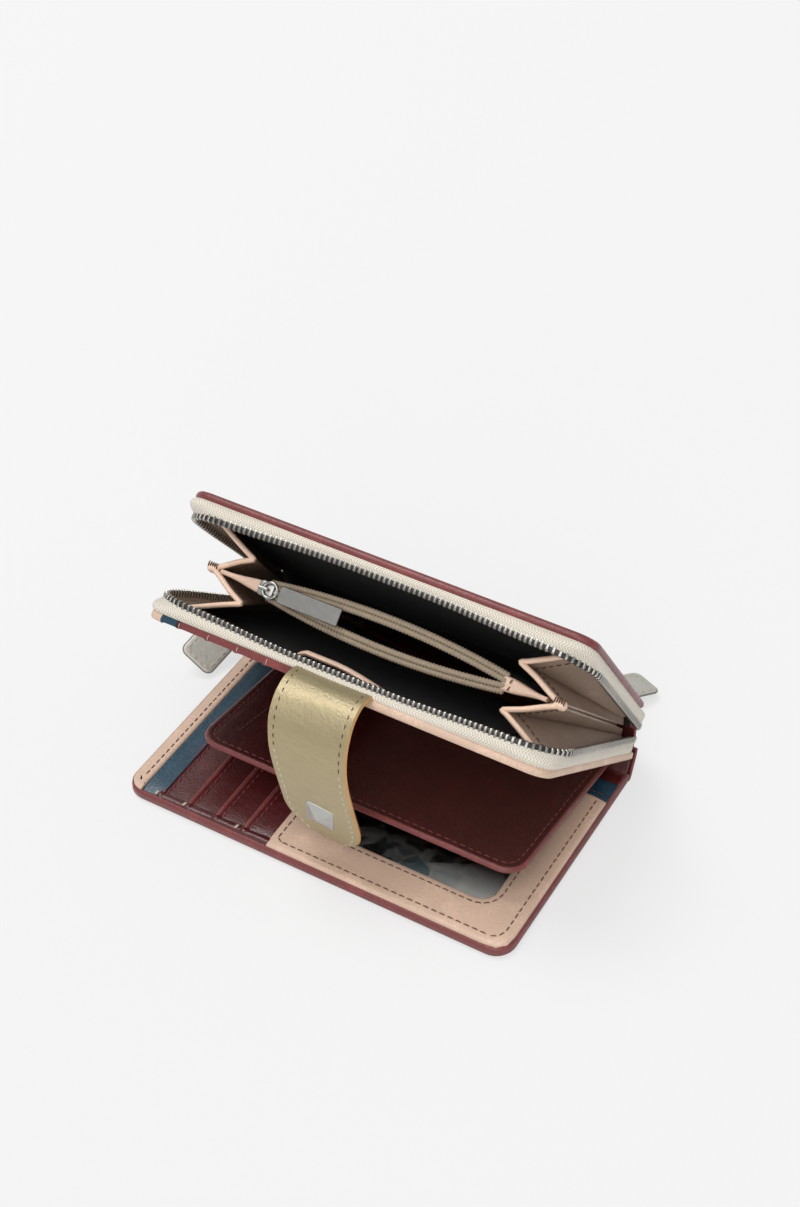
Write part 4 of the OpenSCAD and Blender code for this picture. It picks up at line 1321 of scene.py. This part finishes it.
class WALLET_OT_gussets(bpy.types.Operator):
    """Build the four folded gusset leathers, with bound mouths and stitching"""
    bl_idname = "wallet.gussets"
    bl_label = "Gussets"

    def execute(self, context):
        plan = [("left_lower", -1, -1, 46, 7.6, 60), ("left_upper", -1, 1, 47.5, 7.6, 60),
                ("right_lower", 1, -1, 52, 8, 67.8), ("right_upper", 1, 1, 52, 8, 67.8)]
        for name, side, up, fold_x, fold_n, root_x in plan:
            gusset = Piece()
            rows = []
            for s in spread(16, 86, 22):
                bow = 1.6 * smooth(70, 86, s)
                back = ((86 - s) / 70) ** 2
                rows.append([MID.at(x, back * max(0, 7.2 - 0.93 * n) - s
                                    - bow * math.sin(math.pi * k / 20), n)
                             for k, (x, n) in enumerate(gusset_line(
                                 side, up, s, fold_x, fold_n, root_x))])
            gusset.sheet(rows, 0.8, bulge=0.2)
            mouth = rows[-1]
            stations = []
            for k, p in enumerate(mouth):
                t = (mouth[min(k + 1, 20)] - mouth[max(k - 1, 0)]).normalized()
                down = MID.way(0, 1, 0)
                stations.append((p - down * 0.3, down, t.cross(down).normalized()))
            gusset.tube(stations, round_section(1.15, 12, 0.8), 1)
            line = [rows[-3][k] for k in range(1, 20)]
            for a, b in zip(line, line[1:]):
                normal = (b - a).cross(MID.way(0, 1, 0)).normalized()
                for face in (1, -1):
                    if (b - a).length > 0.8:
                        gusset.stitch((a + b) / 2 + normal * (0.42 * face), b - a,
                                      normal * face, min(2.2, (b - a).length * 0.85),
                                      0.5, 2)
            # The panels take the darker tan, painted shade deep in the pouch; the bound
            # mouths take the lighter tan, a painted highlight.
            piece = gusset.done(f"gusset_{name}_leather",
                                "tan_deep tan_edge thread_dark",
                                replaces=[f"gusset_{name}"])
            outer = MID.at(0, -60, up * 14) * MM
            inner = MID.at(0, -60, up * 1.0) * MM
            if up < 0:
                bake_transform(piece)
            else:
                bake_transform(piece)
        for side, x in ((-1, -61.0), (1, 68.2)):
            tack = Piece()
            rings = []
            for t in spread(-1, 1, 8):
                r = 1.7 * math.sqrt(max(0.02, 1 - t ** 4))
                rings.append([MID.at(x + side * 2.4 * t, -85.6 + a * r * 1.3, b * r)
                              for a, b in round_section(1, 12)])
            tack.bridge(rings, 0, capped=True)
            for k in range(5):
                px = x + side * (-1.6 + 0.8 * k)
                tack.stitch(MID.at(px, -87.4, 0.9), MID.way(0, 0, 1),
                            MID.way(0, -1, 0.3), 2.4, 0.6, 1)
            # The tack takes the lighter copy of the tan: a painted highlight.
            tack.done(f"gusset_tack_{'left' if side < 0 else 'right'}",
                      "tan_edge thread_dark", "coin_pocket")
        return {"FINISHED"}


# Sliders, rings, pulls and tags

LEFT_PIN = (-80.7, 49.102, 17.913)
RIGHT_BAR = (44.0, 59.646, 10.782)
LEFT_END = (-87.1, 14.0, 5.6)
RIGHT_END = (60.5, 91.7, 2.2)
RING_R, WIRE_R, PIN_R, RING_HANG = 2.6, 0.5, 0.6, 1.4


def unit_towards(start, end):
    return Vector((0, end[1] - start[1], end[2] - start[2])).normalized()


def torus(piece, centre, right, up, big, small, finish=0, steps=28):
    """A wire ring in the plane of two directions."""
    rings = []
    normal = right.cross(up)
    for a in turn(steps):
        out = right * math.cos(a) + up * math.sin(a)
        rings.append([centre + out * (big + small * math.cos(b)) + normal * (
            small * math.sin(b)) for b in turn(10)])
    piece.bridge(rings, finish, looped=True)


def rod(piece, start, end, r, soft=0.25):
    """A round rod with softened ends."""
    axis = (end - start).normalized()
    side = axis.orthogonal().normalized()
    other = axis.cross(side)
    piece.bridge([[at + (side * math.cos(a) + other * math.sin(a)) * (r * size)
                   for a in turn(12)]
                  for at, size in ((start, 0.7), (start + axis * soft, 1),
                                   (end - axis * soft, 1), (end, 0.7))], capped=True)


class SideWall(Placed):
    """The plane of a slider's plate: along the row and up, at a distance out."""

    def __init__(self, wall, origin, along, out):
        self.wall, self.origin, self.along, self.out = wall, origin, along, out

    def at(self, a, b, c):
        x = self.origin[0] + self.along[0] * a + self.out[0] * c
        y = self.origin[1] + self.along[1] * a + self.out[1] * c
        return self.wall.at(x, y, b)


def slider_body(piece, plane):
    """Two shaped plates either side of the row, and the post that joins them."""
    shape = (arc(2.2, 7.6, 1.7, 180, 270, 5) + arc(8.2, 8.1, 1.6, 270, 360, 5)
             + arc(8.2, 10.8, 1.6, 0, 90, 5) + arc(2.2, 11.3, 1.7, 90, 180, 5))
    for low, high in ((2.8, 3.6), (-3.6, -2.8)):
        piece.stack(plane, shape, [
            (0.6, low), (0.15, low), (0, low + 0.15), (0, high - 0.15), (0.15, high),
            (0.6, high)])
    post = [(8.6, 8.4), (9.9, 8.4), (9.9, 9.3), (8.6, 9.3)]
    piece.stack(plane, post, [(0, -2.9), (0, 2.9)])


class WALLET_OT_zip_sliders(bpy.types.Operator):
    """Build the two metal sliders of the long zip, and their rings and tags"""
    bl_idname = "wallet.zip_sliders"
    bl_label = "Zip sliders and tags"

    def execute(self, context):
        left = Piece()
        slider_body(left, SideWall(LOWER, (-ZIP_HALF, -1), (0, -1), (-1, 0)))
        pin = Vector(LEFT_PIN)
        rod(left, pin + Vector((4.2, 0, 0)), pin - Vector((1.0, 0, 0)), PIN_R)
        rod(left, pin - Vector((0.75, 0, 0)), pin - Vector((1.4, 0, 0)), 1.3)
        left.done("left_slider_body", "nickel", "left_slider", ["left_slider"], sharp=35)
        right = Piece()
        slider_body(right, SideWall(LOWER, (39, 2.2), (1, 0), (0, 1)))
        bar = Vector(RIGHT_BAR)
        rod(right, bar - Vector((3, 0, 0)), bar + Vector((3, 0, 0)), PIN_R)
        for end in (-3, 3):
            reach = LOWER.at(44 + end, 2.2 + 3.3, 8.85)
            rod(right, Vector((44 + end, bar.y, bar.z)), reach, PIN_R)
        right.done("right_slider_body", "nickel", "right_slider",
                   ["right_slider"], sharp=35)
        for name, start, end, across in (
                ("left", LEFT_PIN, LEFT_END, (-0.8, 0, 0.6)),
                ("right", RIGHT_BAR, RIGHT_END, (0.85, -0.51, 0.14))):
            hang = unit_towards(start, end)
            centre = Vector(start) + hang * RING_HANG
            ring = Piece()
            torus(ring, centre, hang, hang.cross(Vector((1, 0, 0))), RING_R, WIRE_R)
            ring.done(f"{name}_ring_wire", "nickel", f"{name}_ring",
                      [f"{name}_pull_ring"])
            at = Vector(start) + hang * (RING_HANG + RING_R)
            back = (at - Vector(end)).normalized()
            over = (Vector(across) - back * back.dot(Vector(across))).normalized()
            up = over.cross(back)
            tag_piece(name, at, over, back, up)
        return {"FINISHED"}


class Plane(Placed):
    """A flat frame given by its origin and three directions."""

    def __init__(self, origin, x, y, z):
        self.origin, self.x, self.y, self.z = origin, x, y, z

    def at(self, x, y, z):
        return self.origin + self.x * x + self.y * y + self.z * z


def tag_piece(name, at, over, back, up):
    """A pull tag: two foiled leathers glued back to back, painted at the edge."""
    tag = Piece()
    plane = Plane(at, over, back, up)
    outline = (arc(-4.5, -31.1, 2.5, 180, 270, 5) + arc(4.5, -31.1, 2.5, 270, 360, 5)
               + arc(1.6, -3.0, 5.4, 0, 90, 8) + arc(-1.6, -3.0, 5.4, 90, 180, 8))
    half = 0.55
    for face in (-half, half):
        tag.stack(plane, outline, [(1.2, face), (0.3, face), (0.05, face * 0.6),
                                   (0.0, 0.0), (1.2, 0.0)])
    stations = []
    for i in range(len(outline)):
        a, b = outline[i - 1], outline[(i + 1) % len(outline)]
        t = Vector((b[0] - a[0], b[1] - a[1])).normalized()
        stations.append((plane.at(*outline[i], 0), plane.x * t.y - plane.y * t.x,
                         plane.z))
    tag.tube(stations, round_section(0.34, 8), 1, looped=True)
    path = inset_outline(outline, 1.5)
    tag.stitch_line(plane, path + path[:1], half, 2)
    tag.stitch_line(plane, path + path[:1], -half, 2, up=-1)
    torus(tag, at, over, back, 1.65, 0.42, 3, 20)
    tag.done(f"{name}_tag_leather", "pearl edge_dark thread_pale nickel",
             f"{name}_tag", [f"{name}_pull_tag"])


class WALLET_OT_coin_slider(bpy.types.Operator):
    """Build the coin zip's slider, its thick ring and its metal plate"""
    bl_idname = "wallet.coin_slider"
    bl_label = "Coin slider and pull"

    def execute(self, context):
        body = Piece()
        top = 88.8
        outline = rounded(-41, -35, -2.75, 2.75, 1.6)
        plane = Plane(MID.at(0, -top, 0), Vector((1, 0, 0)),
                      MID.way(0, 0, 1),
                      MID.way(0, -1, 0))
        body.stack(plane, outline, [(1, 0), (0.3, 0), (0, 0.3), (0, 1.7), (0.35, 2.2),
                                    (1.0, 2.4)])
        hinge = -38.6
        for x in (hinge - 1.0, hinge + 1.9):
            rod(body, plane.at(x, 0, 2.2), plane.at(x, 0, 3.3), 0.5)
        rod(body, plane.at(hinge - 1.3, 0, 3.9), plane.at(hinge + 2.2, 0, 3.9), 0.65)
        body.done("coin_slider_body", "satin", "coin_slider",
                  ["coin_slider"], sharp=35)
        pull = Piece()
        lift = Plane(MID.at(hinge, -91.88, 0), Vector((1, 0, 0)),
                     MID.way(0, 0, 1),
                     MID.way(0, -1, 0))
        torus(pull, lift.at(RING_R, 0, 0), lift.x, lift.y, RING_R, 0.62)
        pull.done("coin_ring_wire", "nickel", "coin_pull",
                  ["coin_pull_ring"])
        plate = Piece()
        start = 2 * RING_R
        shape = rounded(start + 1, start + 24, -3, 3, 0.9)
        plate.stack(lift, shape, [(0.5, -0.5), (0.2, -0.5), (0, -0.3), (0, 0.3),
                                  (0.2, 0.5), (0.5, 0.5)])
        for y in (0, 0.45, -0.45):
            torus(plate, lift.at(start, y, 0), lift.x, lift.z, 0.98, 0.3, 0, 20)
        plate.done("coin_pull_plate_metal", "nickel", "coin_pull",
                   ["coin_pull_plate"], sharp=35)
        return {"FINISHED"}


# The strap with its square stud

STRAP_HALF = 14.1
STRAP_LINE = [(-1.9, -22.5, 67.6), (-1.9, -25.7, 69.6), (-1.8, -31.2, 70.6),
              (-1.2, -37.6, 68.5), (-0.4, -42.6, 63.0), (0.5, -45.0, 56.2),
              (1.3, -45.4, 49.4), (2.2, -44.8, 42.0), (3.2, -43.6, 33.0),
              (4.3, -41.9, 22.0), (5.0, -40.0, 14.2)]


class WALLET_OT_strap(bpy.types.Operator):
    """Build the gold strap with its painted edge, stitching, stud and snap"""
    bl_idname = "wallet.strap"
    bl_label = "Strap"

    def execute(self, context):
        knots = [Vector(p) for p in STRAP_LINE]
        curve = resample_knots(knots, 60)
        run = [0.0]
        for a, b in zip(curve, curve[1:]):
            run.append(run[-1] + (b - a).length)
        rows = []
        for i, p in enumerate(curve):
            t = curve[min(i + 1, 60)] - curve[max(i - 1, 0)]
            left_over = run[-1] - run[i]
            half = STRAP_HALF
            if left_over < STRAP_HALF:
                half = math.sqrt(max(0.6, STRAP_HALF ** 2
                                     - (STRAP_HALF - left_over) ** 2))
            normal = Vector((0, -t.z, t.y)).normalized()
            lean = 0.11 * smooth(10, 30, run[i])
            rows.append([p + Vector((half * u, 0, -half * u * lean)) + normal * (
                0.25 * (1 - u * u)) for u in spread(-1, 1, 12)])
        strap = Piece()
        strap.sheet(rows, 1.9, 0, 1, bulge=0.3)
        for u in (-0.86, 0.86):
            line = [rows[i][6] + (rows[i][12] - rows[i][0]) * (u / 2)
                    for i in range(2, 59)]
            points = [Vector(p) for p in resample(line, 2.9)]
            for a, b in zip(points, points[1:]):
                t = b - a
                normal = Vector((0, t.z, -t.y)).normalized()
                mid = (a + b) / 2
                for face in (1, -1):
                    strap.stitch(mid - normal * (0.95 * face), t, -normal * face, 2.3,
                                 0.55, 2 if mid.z > 55 else 3)
        piece = strap.done("strap_leather", "gold edge thread_dark thread_pale",
                           replaces=["strap_base", "strap_tip"])
        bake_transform(piece)
        self.build_stud()
        return {"FINISHED"}

    def build_stud(self):
        tilt = math.radians(98)
        along = Vector((0, math.cos(tilt), math.sin(tilt)))
        out = Vector((0, -math.sin(tilt), math.cos(tilt)))
        knee = Vector((3.6, -45.157, 53.554))
        at = knee - along * 25.83
        right = Vector((1, 0, -0.11)).normalized()
        right = (right - out * right.dot(out)).normalized()
        plane = Plane(at + out * 1.2, right, out.cross(right), out)
        stud = Piece()
        half = 5.3
        rings = []
        for h, r, z in ((half, 0.9, -0.4), (half, 0.9, 0.8), (half - 0.15, 0.85, 1.05),
                        (half - 0.4, 0.7, 1.15), (half - 0.7, 0.6, 1.2)):
            rings.append([plane.at(x, y, z) for x, y in rounded(-h, h, -h, h, r)])
        for size, z in ((0.5, 2.2), (0.04, 3.1)):
            rings.append([plane.at(x * size, y * size, z) for x, y in rounded(
                0.7 - half, half - 0.7, 0.7 - half, half - 0.7, 0.6)])
        stud.bridge(rings, 0, capped=True)
        stud.done("stud_metal", "satin", "strap_tip", ["stud"],
                  sharp=9)
        snap = Piece()
        back = Plane(at - out * 0.9, right, plane.y, -out)
        disc = arc(0, 0, 5, 0, 345, 23)
        snap.stack(back, disc, [(0.4, -0.1), (0, 0.1), (0, 0.6), (0.3, 0.85), (2.6, 0.9),
                                (3.0, 1.2), (3.15, 1.9), (3.6, 2.25)], 0)
        snap.done("snap_ball_metal", "nickel", "strap_tip", ["snap_ball"])


# The stage: its lamps, its backdrop and the photograph's camera

WORLD_LEVEL = 0.5
FLOOR_GLOW = 0.7
SUN_STRENGTH = 1.05
SUN_AIM = (-0.1, 0.6, -1.0)
LAMPS = [("key_softbox", (-1.0, 0.3, 2.6), 1.2, 30.0),
         ("front_softbox", (0.9, -2.0, 0.9), 1.2, 8.0)]
PAPER = "#f0f0f0"
FLOOR_HALF = 6.0
LENS, SENSOR = 60.85, 36
CAMERA_AT = (0.2507, -0.4185, 0.5239)
AZIMUTH, ELEVATION = math.radians(30.06), math.radians(41.97)


class WALLET_OT_stage(bpy.types.Operator):
    """Set the pale floor, the soft lamps, the world and the camera"""
    bl_idname = "wallet.stage"
    bl_label = "Stage"

    def execute(self, context):
        scene = context.scene
        scene.view_settings.view_transform = "Standard"
        floor_mesh = bpy.data.meshes.new("paper_floor")
        floor_mesh.from_pydata([(x * FLOOR_HALF, y * FLOOR_HALF, 0) for x, y in (
            (-1, -1), (1, -1), (1, 1), (-1, 1))], [], [(0, 1, 2, 3)])
        floor = place("paper_floor", floor_mesh)
        look = Look("matt_white_paper", Roughness=0.95)
        fibres = look.node("TexNoise", {"Vector": look.place, "Scale": 300.0})
        look.tones(fibres.outputs[0], linear("#efefef"), linear("#f1f1f1"))
        self.lift_backdrop(look)
        floor_mesh.materials.append(look.material)
        world = bpy.data.worlds.new("studio")
        scene.world = world
        world.use_nodes = True
        tree = world.node_tree
        rays = add_node(tree, "ShaderNodeLightPath")
        seen = add_node(tree, "ShaderNodeMath", {
            0: rays.outputs["Is Camera Ray"], 1: rays.outputs["Is Transmission Ray"]},
            operation="MAXIMUM")
        level = add_node(tree, "ShaderNodeMapRange", {
            "Value": seen.outputs[0], "To Min": WORLD_LEVEL, "To Max": 1.0})
        background = tree.nodes["Background"]
        background.inputs[0].default_value = (*linear(PAPER), 1)
        tree.links.new(level.outputs[0], background.inputs[1])
        for name, where, size, watts in LAMPS:
            lamp = bpy.data.lights.new(name, "AREA")
            lamp.energy, lamp.size = watts, size
            holder = place(name, lamp)
            holder.location = where
            aim = Vector((0, 0, 0.04)) - Vector(where)
            holder.rotation_euler = aim.to_track_quat("-Z", "Y").to_euler()
        sun = bpy.data.lights.new("soft_sun", "SUN")
        sun.energy, sun.angle = SUN_STRENGTH, math.radians(50)
        holder = place("soft_sun", sun)
        holder.rotation_euler = Vector(SUN_AIM).to_track_quat("-Z", "Y").to_euler()
        camera = bpy.data.cameras.new("photo_camera")
        camera.lens, camera.sensor_width = LENS, SENSOR
        camera.clip_start = 0.01
        view = place("photo_camera", camera)
        back = Vector((math.sin(AZIMUTH) * math.cos(ELEVATION),
                       -math.cos(AZIMUTH) * math.cos(ELEVATION), math.sin(ELEVATION)))
        view.location = CAMERA_AT
        view.rotation_euler = (-back).to_track_quat("-Z", "Y").to_euler()
        scene.camera = view
        return {"FINISHED"}

    def lift_backdrop(self, look):
        """Let the paper glow for the camera, so that its shadows stay faint."""
        seen = look.node("LightPath").outputs["Is Camera Ray"]
        paper = look.shader.inputs["Base Color"].links[0].from_socket
        tint = look.node("VectorMath", {
            0: paper, "Scale": look.remap(seen, 0.0, 1.0, 1.0, 1 - FLOOR_GLOW)},
            operation="SCALE")
        look.link(tint.outputs[0], "Base Color")
        look.shader.inputs["Emission Color"].default_value = (*linear(PAPER), 1)
        look.link(look.math("MULTIPLY", seen, FLOOR_GLOW), "Emission Strength")


class WALLET_PT_panel(bpy.types.Panel):
    """Lists the wallet's pieces, sizes and colours"""
    bl_idname = "WALLET_PT_panel"
    bl_label = "Organizer wallet"
    bl_space_type = "VIEW_3D"
    bl_region_type = "UI"
    bl_category = "Wallet"

    def draw(self, context):
        for operator in OPERATORS:
            self.layout.operator(operator.bl_idname)
        for group in (context.scene.wallet_sizes, context.scene.wallet_colours):
            for name in group.__annotations__:
                self.layout.prop(group, name)


OPERATORS = [WALLET_OT_stage, WALLET_OT_front_cover, WALLET_OT_card_side,
             WALLET_OT_identity_window, WALLET_OT_spine, WALLET_OT_middle_flap,
             WALLET_OT_pouch_wall, WALLET_OT_slip_pocket, WALLET_OT_zip,
             WALLET_OT_back_cover, WALLET_OT_coin_pocket, WALLET_OT_gussets,
             WALLET_OT_zip_sliders, WALLET_OT_coin_slider, WALLET_OT_strap]
CLASSES = [WalletColours, WalletSizes, WALLET_PT_panel] + OPERATORS


def register():
    for cls in CLASSES:
        bpy.utils.register_class(cls)
    bpy.types.Scene.wallet_colours = PointerProperty(type=WalletColours)
    bpy.types.Scene.wallet_sizes = PointerProperty(type=WalletSizes)


def unregister():
    del bpy.types.Scene.wallet_sizes
    del bpy.types.Scene.wallet_colours
    for cls in reversed(CLASSES):
        bpy.utils.unregister_class(cls)


def main():
    """Register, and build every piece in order."""
    register()
    make_finishes()
    for operator in OPERATORS:
        group, name = operator.bl_idname.split(".")
        getattr(getattr(bpy.ops, group), name)()


if __name__ == "__main__":
    main()
